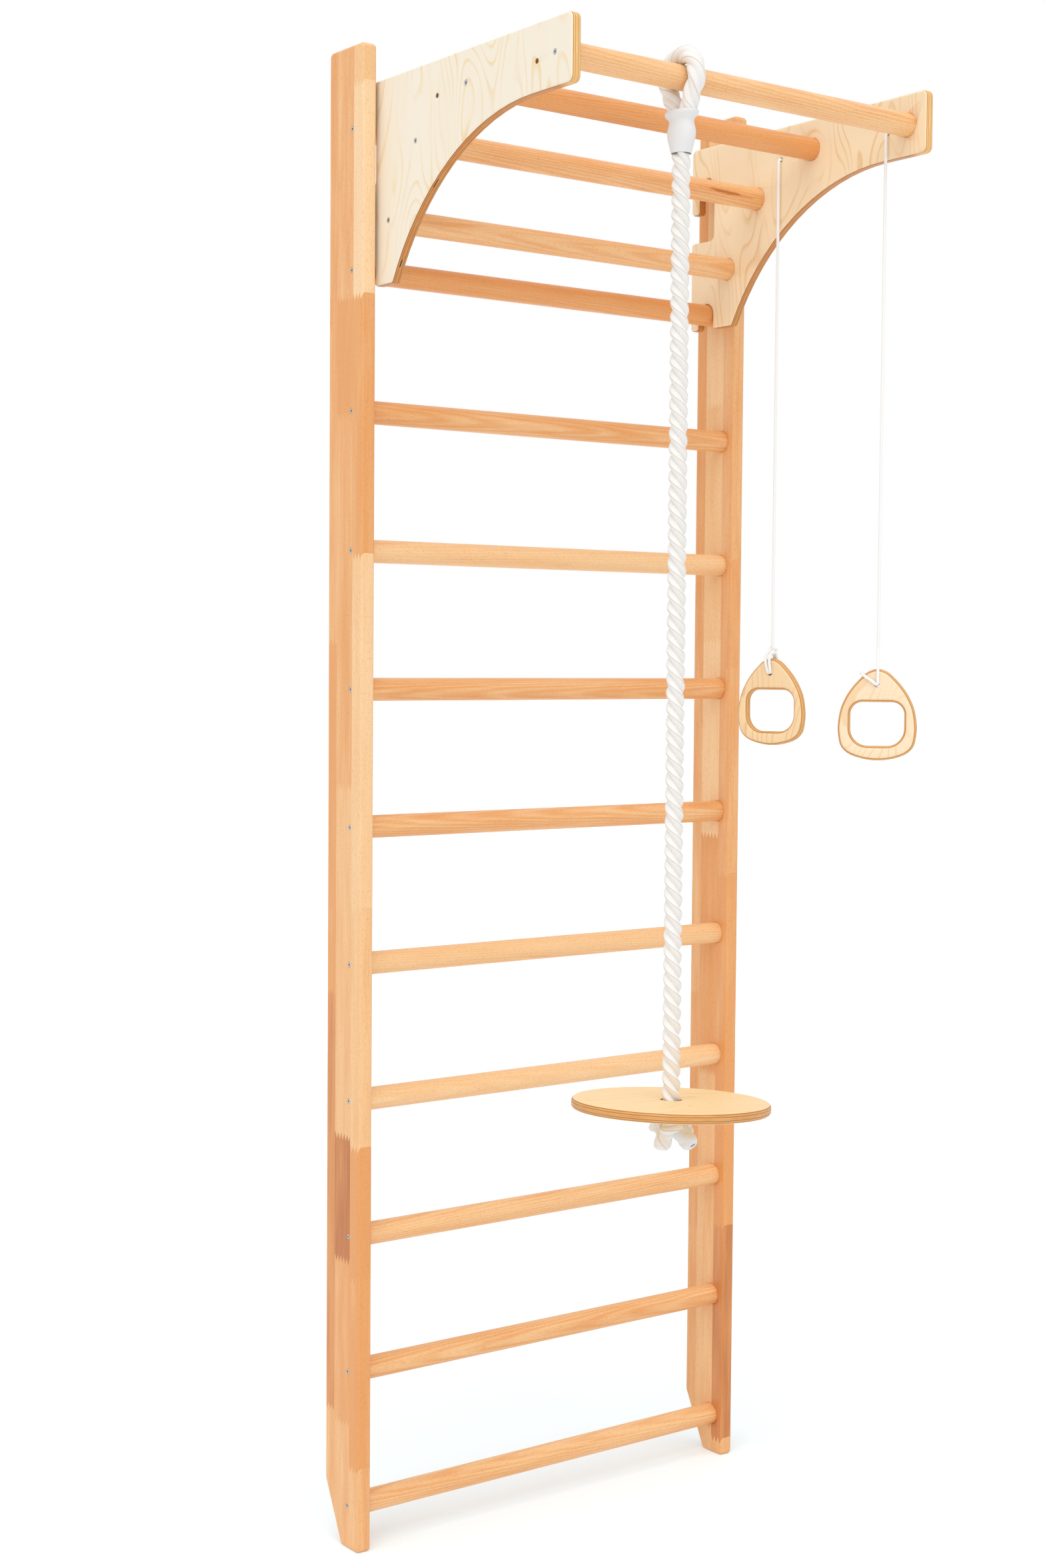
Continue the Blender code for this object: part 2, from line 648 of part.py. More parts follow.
def by_angle(outline, centre, steps):
    """Where rays from a centre, at even angles, leave an outline of (across, z) points."""
    found = []
    for step in range(steps):
        angle = 2 * math.pi * step / steps
        ray = Vector((math.cos(angle), math.sin(angle)))
        best = 0.0
        for index, point in enumerate(outline):
            first = Vector(outline[index - 1]) - Vector(centre)
            second = Vector(point) - Vector(centre)
            edge = second - first
            turn = ray.x * edge.y - ray.y * edge.x
            if abs(turn) < 1e-12:
                continue
            along = (first.x * edge.y - first.y * edge.x) / turn
            share = (first.x * ray.y - first.y * ray.x) / turn
            if along > best and -1e-6 <= share <= 1.0 + 1e-6:
                best = along
        found.append((centre[0] + best * ray.x, centre[1] + best * ray.y))
    return found


def ring_mesh(name):
    """Pick-shaped hand ring in the XZ plane, its top at the origin, with a hand hole through it along Y."""
    half = RING_WIDTH / 2
    right = [(half * across, 0.0, -RING_HEIGHT * down) for across, down in RING_OUTLINE]
    left = [(-x, y, z) for x, y, z in reversed(right)]
    route = [(0.0, 0.0, 0.0)] + right + [(0.0, 0.0, -RING_HEIGHT)] + left
    outer = [(point[0], point[2]) for point in smooth_path(route, ARC_STEPS, cyclic=True)]
    grip = GRIP_WIDTH / 2
    low = -GRIP_TOP_DROP - GRIP_HEIGHT
    inner = rounded(
        [
            (-grip, -GRIP_TOP_DROP, GRIP_TOP_ROUND),
            (grip, -GRIP_TOP_DROP, GRIP_TOP_ROUND),
            (grip, low, GRIP_LOW_ROUND),
            (-grip, low, GRIP_LOW_ROUND),
        ]
    )
    centre = (0.0, -GRIP_TOP_DROP - GRIP_HEIGHT / 2)
    outside = by_angle(outer, centre, RING_STEPS)
    inside = by_angle(inner, centre, RING_STEPS)
    deep = RING_THICKNESS / 2
    bend = RING_EDGE_ROUND
    section = []
    for quarter, (edge, face) in enumerate(((1, -1), (1, 1), (-1, 1), (-1, -1))):
        for step in range(2):
            angle = math.radians(-90 + 90 * quarter + 90 * step)
            inset = bend * (math.cos(angle) - edge)
            sink = bend * (math.sin(angle) - face)
            section.append((edge, face, inset, sink))
    bm = bmesh.new()
    rings = []
    for (out_x, out_z), (in_x, in_z) in zip(outside, inside):
        outward = Vector((out_x - in_x, out_z - in_z)).normalized()
        ring = []
        for edge, face, inset, sink in section:
            start_x, start_z = (out_x, out_z) if edge > 0 else (in_x, in_z)
            point = Vector((start_x, start_z)) + outward * inset
            ring.append(bm.verts.new((point.x, face * deep + sink, point.y)))
        rings.append(ring)
    join_rings(bm, rings, closed=True)
    return mesh_from(bm, name)


def cord_path(drop):
    """Ring cord about its cheek hole: stopper knot outside, then down to the knot over the ring."""
    outer = CHEEK_THICKNESS + TOUCH_GAP
    knot = CORD_KNOT_LENGTH
    bulge = CORD_KNOT_DIAMETER / CORD_DIAMETER
    hang_x = -CORD_STANDOFF
    path = [(outer + knot * share, 0.0, 0.0) for share, _ in STOPPER_PROFILE]
    swell = [bulge * share for _, share in STOPPER_PROFILE]
    bend = [(outer - TOUCH_GAP / 3, 0.0, 0.0), (TOUCH_GAP, 0.0, 0.0)]
    bend += [(hang_x, 0.0, -CORD_STANDOFF), (hang_x, 0.0, -CORD_BEND_DROP)]
    path += [tuple(point) for point in smooth_path(bend, ARC_STEPS)]
    knot_top = -drop + CORD_STANDOFF + 2 * CORD_DIAMETER + knot
    hang = knot_top + CORD_BEND_DROP
    for step in range(1, CORD_SPANS + 1):
        path.append((hang_x, 0.0, -CORD_BEND_DROP + hang * step / CORD_SPANS))
    swell += [1.0] * (len(path) - len(swell))
    path += [(hang_x, 0.0, knot_top - knot * share) for share, _ in RING_KNOT_PROFILE]
    swell += [bulge * share for _, share in RING_KNOT_PROFILE]
    return path, swell, knot_top - knot


def loop_path(top):
    """Loop of cord through the ring's small hole and over its top edge, up to the knot."""
    beside = RING_THICKNESS / 2 + CORD_DIAMETER / 2 + TOUCH_GAP
    low = -RING_HOLE_DROP + RING_HOLE_DIAMETER / 2 - CORD_DIAMETER / 2 - TOUCH_GAP
    high = top - CORD_DIAMETER / 2 - TOUCH_GAP
    right = [(0.0, reach * beside, low + (high - low) * rise) for reach, rise in LOOP_ROUTE]
    left = [(x, -y, z) for x, y, z in reversed(right)]
    return smooth_path([(0.0, 0.0, low)] + right + [(0.0, 0.0, high)] + left, EDGE_STEPS, cyclic=True)


def build_rings(canopy):
    inner_x = CANOPY_RIGHT_X - CHEEK_THICKNESS
    hole_z = CHEEK_TOP_Z - CORD_HOLE_DROP
    for which, setback in CORD_HOLE_SETBACKS.items():
        hole_y = CHEEK_FRONT_Y + setback
        hole = (inner_x, hole_y, hole_z)
        swing = pivot(which + "_ring_swing_axis", hole, canopy)
        path, swell, knot_low = cord_path(CORD_DROPS[which])
        cord = tube_curve(which + "_ring_cord", path, CORD_DIAMETER, CORD_SIDES, swell)
        piece(which + "_ring_cord", cord, "rope", hole, swing)
        top_z = hole_z - CORD_DROPS[which]
        top = (inner_x - CORD_STANDOFF, hole_y, top_z)
        turn = RING_TURNS[which]
        loop_route = loop_path(hole_z + knot_low - top_z)
        loop = tube_curve(which + "_ring_loop", loop_route, CORD_DIAMETER, CORD_SIDES, cyclic=True)
        piece(which + "_ring_loop", loop, "rope", top, swing, turn)
        ring = piece(which + "_hand_ring", ring_mesh(which + "_hand_ring"), "birch", top, swing, turn)
        bore = bmesh.new()
        add_bore(bore, (0.0, 0.0, 0.0), 2 * RING_THICKNESS, RING_HOLE_DIAMETER)
        bmesh.ops.rotate(bore, verts=bore.verts, matrix=Matrix.Rotation(turn + math.pi / 2, 3, "Z"))
        bmesh.ops.translate(bore, verts=bore.verts, vec=Vector(top) - Vector((0.0, 0.0, RING_HOLE_DROP)))
        cut_with(ring, which + "_ring_hole", bore, swing)


clear_scene()
build_ladder()
canopy_root = pivot("canopy_lift_axis", (CANOPY_LEFT_X, RUNG_Y, RUNG_HEIGHTS[-1]))
build_canopy(canopy_root)
build_rope(canopy_root)
build_rings(canopy_root)
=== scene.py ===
import math

import bmesh
import bpy
from mathutils import Matrix, Vector


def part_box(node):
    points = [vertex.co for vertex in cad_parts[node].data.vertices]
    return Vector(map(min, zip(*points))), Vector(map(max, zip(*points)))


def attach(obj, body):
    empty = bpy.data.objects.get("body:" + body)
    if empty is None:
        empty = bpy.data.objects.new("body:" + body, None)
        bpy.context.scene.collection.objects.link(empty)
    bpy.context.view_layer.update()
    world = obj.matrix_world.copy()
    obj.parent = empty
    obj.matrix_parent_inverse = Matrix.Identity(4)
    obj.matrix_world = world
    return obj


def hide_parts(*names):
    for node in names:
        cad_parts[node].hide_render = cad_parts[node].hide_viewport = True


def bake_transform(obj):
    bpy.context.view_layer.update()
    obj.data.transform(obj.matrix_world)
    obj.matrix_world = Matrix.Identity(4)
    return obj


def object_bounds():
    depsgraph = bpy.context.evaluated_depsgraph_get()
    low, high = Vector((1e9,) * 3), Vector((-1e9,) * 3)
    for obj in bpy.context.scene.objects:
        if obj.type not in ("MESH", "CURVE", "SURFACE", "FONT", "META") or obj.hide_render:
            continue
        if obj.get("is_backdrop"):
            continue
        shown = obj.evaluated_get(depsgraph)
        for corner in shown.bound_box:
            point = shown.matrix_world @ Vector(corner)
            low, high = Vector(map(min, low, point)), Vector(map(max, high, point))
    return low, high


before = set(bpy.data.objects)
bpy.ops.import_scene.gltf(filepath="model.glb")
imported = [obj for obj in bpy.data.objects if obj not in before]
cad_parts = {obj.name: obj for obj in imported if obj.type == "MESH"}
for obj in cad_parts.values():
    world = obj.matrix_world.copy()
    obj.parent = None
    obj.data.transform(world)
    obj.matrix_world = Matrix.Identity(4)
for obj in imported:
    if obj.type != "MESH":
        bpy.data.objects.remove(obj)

cad_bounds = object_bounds()


# Uprights: two boards glued up from finger-jointed beech strips, planed, round on every edge and lacquered.
# Each has a row of blind sockets for the rungs, and a slanted cut at the foot that clears a skirting board.
class Wire:
    """A socket of a node tree, for sums. Vectors go through Vector Math, and colours through pick."""

    def __init__(self, tree, socket):
        self.tree = tree
        self.socket = socket

    def node(self, kind, settings, inputs, out=0):
        made = self.tree.nodes.new(kind)
        for name, value in settings.items():
            setattr(made, name, value)
        for key, value in inputs.items():
            if isinstance(value, Wire):
                self.tree.links.new(value.socket, made.inputs[key])
            else:
                made.inputs[key].default_value = value
        return Wire(self.tree, made.outputs[out])

    def sum(self, operation, first, second):
        kinds = [side.socket.type for side in (first, second) if isinstance(side, Wire)]
        kind = "ShaderNodeVectorMath" if "VECTOR" in kinds else "ShaderNodeMath"
        return self.node(kind, {"operation": operation}, {0: first, 1: second})

    def __add__(self, other):
        return self.sum("ADD", self, other)

    def __radd__(self, other):
        return self.sum("ADD", other, self)

    def __sub__(self, other):
        return self.sum("SUBTRACT", self, other)

    def __rsub__(self, other):
        return self.sum("SUBTRACT", other, self)

    def __mul__(self, other):
        return self.sum("MULTIPLY", self, other)

    def __rmul__(self, other):
        return self.sum("MULTIPLY", other, self)

    def __truediv__(self, other):
        return self.sum("DIVIDE", self, other)

    def __rtruediv__(self, other):
        return self.sum("DIVIDE", other, self)

    def math(self, operation, other=0.0):
        return self.sum(operation, self, other)

    def off(self, value):
        """Distance from a value, either way."""
        return (self - value).math("ABSOLUTE")

    def step(self, low, high):
        """0 below low, 1 above high, smooth between."""
        settings = {"interpolation_type": "SMOOTHSTEP"}
        return self.node("ShaderNodeMapRange", settings, {0: self, 1: low, 2: high})

    def pick(self, low, high):
        """Colour between two colours, with this socket as the share."""
        sides = [side if isinstance(side, Wire) else (*side, 1.0) for side in (low, high)]
        return self.node("ShaderNodeMix", {"data_type": "RGBA"}, {0: self, 6: sides[0], 7: sides[1]}, 2)

    def noise(self, detail=2.0):
        return self.node("ShaderNodeTexNoise", {}, {"Vector": self, "Scale": 1.0, "Detail": detail})

    def parts(self):
        made = self.tree.nodes.new("ShaderNodeSeparateXYZ")
        self.tree.links.new(self.socket, made.inputs[0])
        return [Wire(self.tree, output) for output in made.outputs]

    def into(self, target):
        self.tree.links.new(self.socket, target)


def point(x, y, z):
    start = next(side for side in (x, y, z) if isinstance(side, Wire))
    return start.node("ShaderNodeCombineXYZ", {}, {0: x, 1: y, 2: z})


def new_finish(name, roughness, coords="Object"):
    """Empty material: the material, its shader's sockets and the coordinates to draw with."""
    material = bpy.data.materials.new(name)
    material.use_nodes = True
    shader = material.node_tree.nodes["Principled BSDF"]
    shader.inputs["Roughness"].default_value = roughness
    place = material.node_tree.nodes.new("ShaderNodeTexCoord")
    return material, shader.inputs, Wire(material.node_tree, place.outputs[coords])


def add_bump(height, inputs, strength, distance):
    values = {"Strength": strength, "Distance": distance, "Height": height}
    height.node("ShaderNodeBump", {}, values).into(inputs["Normal"])


BEECH_CREAM = (0.96, 0.67, 0.39)
BEECH_PALE = (0.92, 0.565, 0.275)
BEECH_TAN = (0.81, 0.355, 0.113)
BEECH_BROWN = (0.51, 0.158, 0.036)
BEECH_ROUGHNESS = 0.42
# Tones between which one of these colours turns into the next
CREAM_TO_PALE = (-0.60, -0.10)
PALE_TO_TAN = (-0.15, 0.42)
TAN_TO_BROWN = (0.45, 1.10)
NOISE_MIDDLE = 0.5
FIBRE_WIDTH = 0.0013
FIBRE_LENGTH = 0.075
FIBRE_SHARE = 0.50
FIBRE_BUMP = 0.10
FIBRE_RELIEF = 0.0004
CLOUD_WIDTH = 0.022
CLOUD_LENGTH = 0.240
CLOUD_SHARE = 0.60
FLECK_WIDTH = 0.0008
FLECK_LENGTH = 0.0050
FLECK_NOISE = (0.62, 0.76)
FLECK_SHARE = 0.30


def draw_beech(along, wide, deep, tone, inputs):
    """Beech colour from a tone (-0.5 cream, 0 pale, 1 brown), with fibres, clouds and dark ray flecks."""
    fibre = point(wide / FIBRE_WIDTH, deep / FIBRE_WIDTH, along / FIBRE_LENGTH).noise()
    cloud = point(wide / CLOUD_WIDTH, deep / CLOUD_WIDTH, along / CLOUD_LENGTH).noise()
    fleck = point(wide / FLECK_WIDTH, deep / FLECK_WIDTH, along / FLECK_LENGTH).noise(0.0).step(*FLECK_NOISE)
    value = tone + (cloud - NOISE_MIDDLE) * CLOUD_SHARE + (fibre - NOISE_MIDDLE) * FIBRE_SHARE
    colour = value.step(*PALE_TO_TAN).pick(BEECH_PALE, BEECH_TAN)
    colour = value.step(*CREAM_TO_PALE).pick(BEECH_CREAM, colour)
    colour = value.step(*TAN_TO_BROWN).pick(colour, BEECH_BROWN)
    colour = (fleck * FLECK_SHARE).pick(colour, BEECH_BROWN)
    colour.into(inputs["Base Color"])
    add_bump(fibre, inputs, FIBRE_BUMP, FIBRE_RELIEF)


FINGER_PITCH = 0.0045
FINGER_LENGTH = 0.011
JOINT_WIDTH = 0.0010
JOINT_TONE = 0.14
# Depths from the front at which the front and the middle strip end
STRIP_ENDS = (0.027, 0.073)
# How far each tone moves its block's grain, so that neighbours don't share it
GRAIN_SHIFT = 3.7
# Blocks of the front, middle and rear strip of each upright, from the top: (height of the lower end, tone)
UPRIGHT_BLOCKS = {
    "left": (
        (
            (2.343, -0.10), (2.013, -0.52), (1.606, 0.28), (1.043, -0.26),
            (0.660, -0.04), (0.447, 0.48), (0.139, 0.36), (0.0, 0.10),
        ),
        (
            (2.013, 0.14), (1.830, 0.36), (1.240, 0.20), (0.675, 0.04),
            (0.475, 0.92), (0.210, 0.28), (0.0, 0.12),
        ),
        ((1.974, 0.22), (1.470, 0.16), (0.905, 0.36), (0.225, 0.68), (0.0, 0.12)),
    ),
    "right": (
        (
            (2.130, 0.18), (1.620, 0.12), (1.430, 0.24), (1.060, 0.20),
            (0.720, 0.32), (0.422, 0.42), (0.032, 0.76), (0.0, 0.14),
        ),
        ((1.900, -0.24), (1.480, -0.06), (1.130, -0.30), (0.930, 0.32), (0.700, 0.30), (0.0, 0.04)),
        ((2.040, 0.30), (1.330, 0.24), (0.840, 0.12), (0.410, 0.30), (0.0, 0.16)),
    ),
}


def upright_finish(name, strips, front_y):
    """Beech strips beside each other in depth, each made of blocks that meet in a comb of glued fingers."""
    material, inputs, place = new_finish(name, BEECH_ROUGHNESS)
    x, y, z = place.parts()
    level = z + (y / FINGER_PITCH).math("PINGPONG", 1.0) * FINGER_LENGTH
    tone = None
    joint = None
    for index in reversed(range(len(strips))):
        own = level * 0.0 + strips[index][0][1]
        seam = level * 0.0
        for (end, above), (_, below) in zip(strips[index], strips[index][1:]):
            own = own + level.math("LESS_THAN", end) * (below - above)
            seam = seam.math("MAXIMUM", 1.0 - level.off(end).step(0.0, JOINT_WIDTH))
        if tone is None:
            tone, joint = own, seam
        else:
            rear_y = front_y + STRIP_ENDS[index]
            inside = y.math("LESS_THAN", rear_y)
            tone = tone + (own - tone) * inside
            joint = joint + (seam - joint) * inside
            joint = joint.math("MAXIMUM", 1.0 - y.off(rear_y).step(0.0, JOINT_WIDTH / 2))
    shift = tone * GRAIN_SHIFT
    draw_beech(z + shift, x + shift, y + shift, tone + joint * JOINT_TONE, inputs)
    return material


BOARD_SHARP = math.radians(50)
WELD_REACH = 1e-5
FLAT_WITHIN = 1e-4


def settled(bm, name, sharp_angle=BOARD_SHARP):
    """Object of a finished bmesh: outward faces, smooth round the bends and flat on the flats."""
    bmesh.ops.recalc_face_normals(bm, faces=bm.faces)
    mesh = bpy.data.meshes.new(name)
    bm.to_mesh(mesh)
    bm.free()
    mesh.shade_smooth()
    mesh.set_sharp_from_angle(angle=sharp_angle)
    item = bpy.data.objects.new(name, mesh)
    bpy.context.scene.collection.objects.link(item)
    modifier = item.modifiers.new("flat_faces", "WEIGHTED_NORMAL")
    modifier.keep_sharp = True
    bpy.context.view_layer.update()
    graph = bpy.context.evaluated_depsgraph_get()
    item.data = bpy.data.meshes.new_from_object(item.evaluated_get(graph))
    item.data.name = name
    item.modifiers.clear()
    bpy.data.meshes.remove(mesh)
    return item


def smooth_copy(node, name):
    """The CAD node's own shape with its facets shaded as the round edges that they stand for."""
    bm = bmesh.new()
    bm.from_mesh(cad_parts[node].data)
    bmesh.ops.remove_doubles(bm, verts=bm.verts, dist=WELD_REACH)
    bmesh.ops.dissolve_limit(bm, angle_limit=FLAT_WITHIN, verts=bm.verts, edges=bm.edges)
    return settled(bm, name)


def dress(item, material, body, slot, *nodes):
    item.data.materials.clear()
    item.data.materials.append(material)
    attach(item, body)
    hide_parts(*nodes)


for side, strips in UPRIGHT_BLOCKS.items():
    low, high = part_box(side + "_upright")
    upright = smooth_copy(side + "_upright", side + "_beech_upright")
    beech = upright_finish(side + "_upright_beech", strips, low.y)
    dress(upright, beech, "ladder", "beech_uprights", side + "_upright")


# Rungs: eleven turned beech rods, lacquered, each end in a blind socket of an upright.
# A screw from outside holds each end. The rods differ in tone, and no two share their grain.
ROD_SIDES = 64
ROD_EASE = 0.0012
GROWTH_SPACING = 0.0042
GROWTH_TILT = 0.030
GROWTH_FAR = 0.055
GROWTH_SHARE = 0.10
WANDER_WIDTH = 0.03
WANDER_LENGTH = 0.16
WANDER_TURN = 9.0
# How far from the rod's middle the grain is centred; the seed scatters that, and where the grain starts
PITH_OFF = 0.013
PITH_SCATTER = (2.1, 3.7)
RUN_SCATTER = 1.7
# A knot's grain in length, width and depth, its ragged edge, slant and fading, and how deep and dark it is
KNOT_GRAIN = (0.030, 0.0030, 0.0020)
KNOT_RAGGED = 2.2
KNOT_SLANT = 0.4
KNOT_FADE = (0.35, 1.1)
KNOT_DEPTH = 0.006
KNOT_TONE = 0.9


def rod_finish(name, middle, tone, seed, knot=None):
    """Beech grain along X; growth rings cross the rod at a slant.
    A knot is (x, z, half length, half height)."""
    material, inputs, place = new_finish(name, BEECH_ROUGHNESS)
    x, y, z = place.parts()
    wide = y - (middle.y - PITH_OFF * math.sin(seed * PITH_SCATTER[0]))
    deep = z - (middle.z - PITH_OFF * math.cos(seed * PITH_SCATTER[1]))
    run = x + seed * RUN_SCATTER
    wander = point(wide / WANDER_WIDTH, deep / WANDER_WIDTH, run / WANDER_LENGTH).noise()
    far = deep + run * GROWTH_TILT * math.sin(seed) + GROWTH_FAR
    across = wide + run * GROWTH_TILT * math.cos(seed)
    reach = (across * across + far * far).math("SQRT")
    growth = (reach * (2 * math.pi / GROWTH_SPACING) + wander * WANDER_TURN).math("SINE")
    value = growth * GROWTH_SHARE + tone
    if knot:
        knot_x, knot_z, knot_length, knot_height = knot
        grain_length, grain_width, grain_depth = KNOT_GRAIN
        grain = point(run / grain_length, wide / grain_width, deep / grain_depth).noise()
        off_x = (x - knot_x) / knot_length
        off_z = (z - knot_z + off_x * knot_height * KNOT_SLANT) / knot_height
        gone = (off_x * off_x + off_z * off_z).math("SQRT") + (grain - NOISE_MIDDLE) * KNOT_RAGGED
        value = value + (1.0 - gone.step(*KNOT_FADE)) * (middle.y - y).step(0.0, KNOT_DEPTH) * KNOT_TONE
    draw_beech(run, wide, deep, value, inputs)
    return material


def skin(bm, rings, closed=False):
    """Faces between neighbouring rings of vertices."""
    pairs = list(zip(rings, rings[1:]))
    if closed:
        pairs.append((rings[-1], rings[0]))
    for first, second in pairs:
        count = max(len(first), len(second))
        for index in range(count):
            after = (index + 1) % count
            corners = [first[index % len(first)], first[after % len(first)]]
            corners += [second[after % len(second)], second[index % len(second)]]
            bm.faces.new(list(dict.fromkeys(corners)))


def turned(bm, stations, sides, place):
    """Revolve (along, radius) stations about the X axis of a placing matrix; a radius of 0 is a pole."""
    rings = []
    for along, radius in stations:
        ring = []
        for side in range(sides if radius > 0.0 else 1):
            angle = 2 * math.pi * side / sides
            spot = Vector((along, radius * math.cos(angle), radius * math.sin(angle)))
            ring.append(bm.verts.new(place @ spot))
        rings.append(ring)
    skin(bm, rings)


def make_rod(node, body, tone, seed, knot=None):
    low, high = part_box(node)
    middle = (low + high) / 2
    radius = (high.z - low.z) / 2
    end = (high.x - low.x) / 2
    half = [(end, 0.0), (end, radius - ROD_EASE), (end - ROD_EASE, radius)]
    stations = [(-along, reach) for along, reach in half] + list(reversed(half))
    bm = bmesh.new()
    turned(bm, stations, ROD_SIDES, Matrix.Translation(middle))
    rod = settled(bm, node + "_rod")
    dress(rod, rod_finish(node + "_beech", middle, tone, seed, knot), body, "beech_bars", node)


# One tone for each rung, from the lowest
RUNG_TONES = (0.08, 0.14, 0.02, -0.22, -0.08, 0.18, 0.20, -0.14, 0.20, 0.38, 0.08)
RUNG_SEED = 0.9
RUNG_SEED_STEP = 1.31
for number, tone in enumerate(RUNG_TONES, 1):
    make_rod(f"ladder_rung_{number:02d}", "ladder", tone, RUNG_SEED + RUNG_SEED_STEP * number)


# Screws: zinc-plated countersunk screws with a hexagon socket, one in each end of every rung and bar.
# Their heads lie flush with the outer faces of the uprights and of the canopy's cheeks.
ZINC = (0.55, 0.57, 0.58)
ZINC_ROUGHNESS = 0.34
zinc, zinc_inputs, _ = new_finish("zinc_plate", ZINC_ROUGHNESS)
zinc_inputs["Base Color"].default_value = (*ZINC, 1.0)
zinc_inputs["Metallic"].default_value = 1.0
for node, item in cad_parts.items():
    if "_screw_" in node:
        item.data.materials.clear()
        item.data.materials.append(zinc)


# Canopy cheeks: birch plywood, cut to a nose and a swept lower edge, with two hooks that hang on the rungs.
# The faces are pale rotary-cut veneer; the rounded edges lay open the crossed plies.
PLY_LIGHT = (0.93, 0.58, 0.225)
PLY_TAN = (0.62, 0.225, 0.036)
PLY_LINE = (0.49, 0.205, 0.046)
PLY_DARK = (0.22, 0.075, 0.018)
PLY_THICKNESS = 0.0016
PLY_ROUGHNESS = 0.45
# Place of the glue line in a pair of plies, and how far from it the colour turns to wood
GLUE_PLACE = 0.62
GLUE_FADE = (0.06, 0.20)
# Depths at which the face veneer gives way to the edge
FACE_TO_EDGE = (0.5 * PLY_THICKNESS, 0.9 * PLY_THICKNESS)
GRIT_WIDTH = 0.020
GRIT_DEPTH = 0.0012
GRIT_NOISE = (0.3, 0.7)
GRIT_SHARE = 0.25
DARKENING_SHARE = 0.75
# Painted shade inside the open joints of the ply edge
OPEN_JOINT_SHADE = (0.035, 0.014, 0.006)
# Distances from an open joint's middle, along and across the plies, at which it starts to fade and is gone
GAP_LENGTH = (0.0039, 0.0065)
GAP_HEIGHT = (0.5 * PLY_THICKNESS, 0.8 * PLY_THICKNESS)
# The veneer's growth lines: how many cross a metre, how they wander, rise and end, and where they show
LINES_A_METRE = 22.0
LINE_WANDER = 19.0
LINE_WANDER_WIDTH = 0.10
LINE_WANDER_LENGTH = 0.34
LINE_RISE = (0.60, 0.93)
LINE_END = (0.93, 1.0)
PATCH_WIDTH = 0.06
PATCH_LENGTH = 0.20
PATCH_NOISE = (0.30, 0.65)
PATCH_SEED = 5.0
VENEER_FIBRE_WIDTH = 0.0012
VENEER_FIBRE_LENGTH = 0.030
VENEER_FIBRE_BUMP = 0.06
VENEER_FIBRE_RELIEF = 0.0003
VENEER_CLOUD_WIDTH = 0.05
VENEER_CLOUD_LENGTH = 0.30
VENEER_CLOUD_SEED = 9.0
# Shares of the lines, the fibres and the clouds in the veneer's colour, and the share that is always there
LINE_SHARE = 0.62
VENEER_FIBRE_SHARE = 0.30
VENEER_CLOUD_SHARE = 0.40
VENEER_BASE = 0.10


def draw_ply(deep, along, wide, thickness, inputs, look, edge_darkening, gaps=()):
    """Birch veneer on the faces; the edge shows bands of light and dark plies, darker by the given share (0
    to 1).
    A look is (pale colour, line colour, seed). Gaps are open ply joints at (along, deep), in painted shade."""
    pale, line, seed = look
    depth = deep.math("MINIMUM", thickness - deep)
    wander = point(wide / LINE_WANDER_WIDTH, along / LINE_WANDER_LENGTH, seed).noise(1.0)
    crest = (wander * LINE_WANDER + wide * LINES_A_METRE).math("FRACT")
    mark = crest.step(*LINE_RISE) * (1.0 - crest.step(*LINE_END))
    patch = point(wide / PATCH_WIDTH, along / PATCH_LENGTH, seed + PATCH_SEED).noise().step(*PATCH_NOISE)
    fibre = point(wide / VENEER_FIBRE_WIDTH, along / VENEER_FIBRE_LENGTH, seed).noise()
    cloud = point(wide / VENEER_CLOUD_WIDTH, along / VENEER_CLOUD_LENGTH, seed + VENEER_CLOUD_SEED).noise()
    share = mark * patch * LINE_SHARE + (fibre - NOISE_MIDDLE) * VENEER_FIBRE_SHARE
    share = share + (cloud - NOISE_MIDDLE) * VENEER_CLOUD_SHARE + VENEER_BASE
    face = share.step(0.0, 1.0).pick(pale, line)
    darkening = depth * 0.0 + edge_darkening
    grit = point(wide / GRIT_WIDTH, along / GRIT_WIDTH, depth / GRIT_DEPTH).noise()
    wood = (grit.step(*GRIT_NOISE) * GRIT_SHARE + darkening * DARKENING_SHARE).pick(PLY_LIGHT, PLY_TAN)
    glue = darkening.pick(PLY_LINE, PLY_DARK)
    band = (depth / (2 * PLY_THICKNESS)).math("FRACT")
    edge = band.off(GLUE_PLACE).step(*GLUE_FADE).pick(glue, wood)
    colour = depth.step(*FACE_TO_EDGE).pick(face, edge)
    for gap_along, gap_deep in gaps:
        inside = 1.0 - along.off(gap_along).step(*GAP_LENGTH)
        inside = inside * (1.0 - deep.off(gap_deep).step(*GAP_HEIGHT))
        # The open joints are real; their near-black colour is painted shade inside them.
        colour = inside.pick(colour, OPEN_JOINT_SHADE)
    colour.into(inputs["Base Color"])
    add_bump(fibre, inputs, VENEER_FIBRE_BUMP, VENEER_FIBRE_RELIEF)


# How far behind the nose and below the top the edges turn darker
NOSE_DARKENING = (0.012, 0.040)
TOP_DARKENING = (0.02, 0.05)


def cheek_finish(name, low, high, look, gaps):
    """Cheek plywood: the swept lower edge and the hooks are darker than the nose and the top."""
    material, inputs, place = new_finish(name, PLY_ROUGHNESS)
    x, y, z = place.parts()
    edge_darkening = (y - low.y).step(*NOSE_DARKENING) * (high.z - z).step(*TOP_DARKENING)
    draw_ply(x - low.x, z, y, high.x - low.x, inputs, look, edge_darkening, gaps)
    return material


CHEEK_LOOKS = {
    "left": ((0.92, 0.84, 0.70), (0.88, 0.66, 0.35), 2.0),
    "right": ((0.95, 0.77, 0.52), (0.84, 0.54, 0.25), 6.0),
}
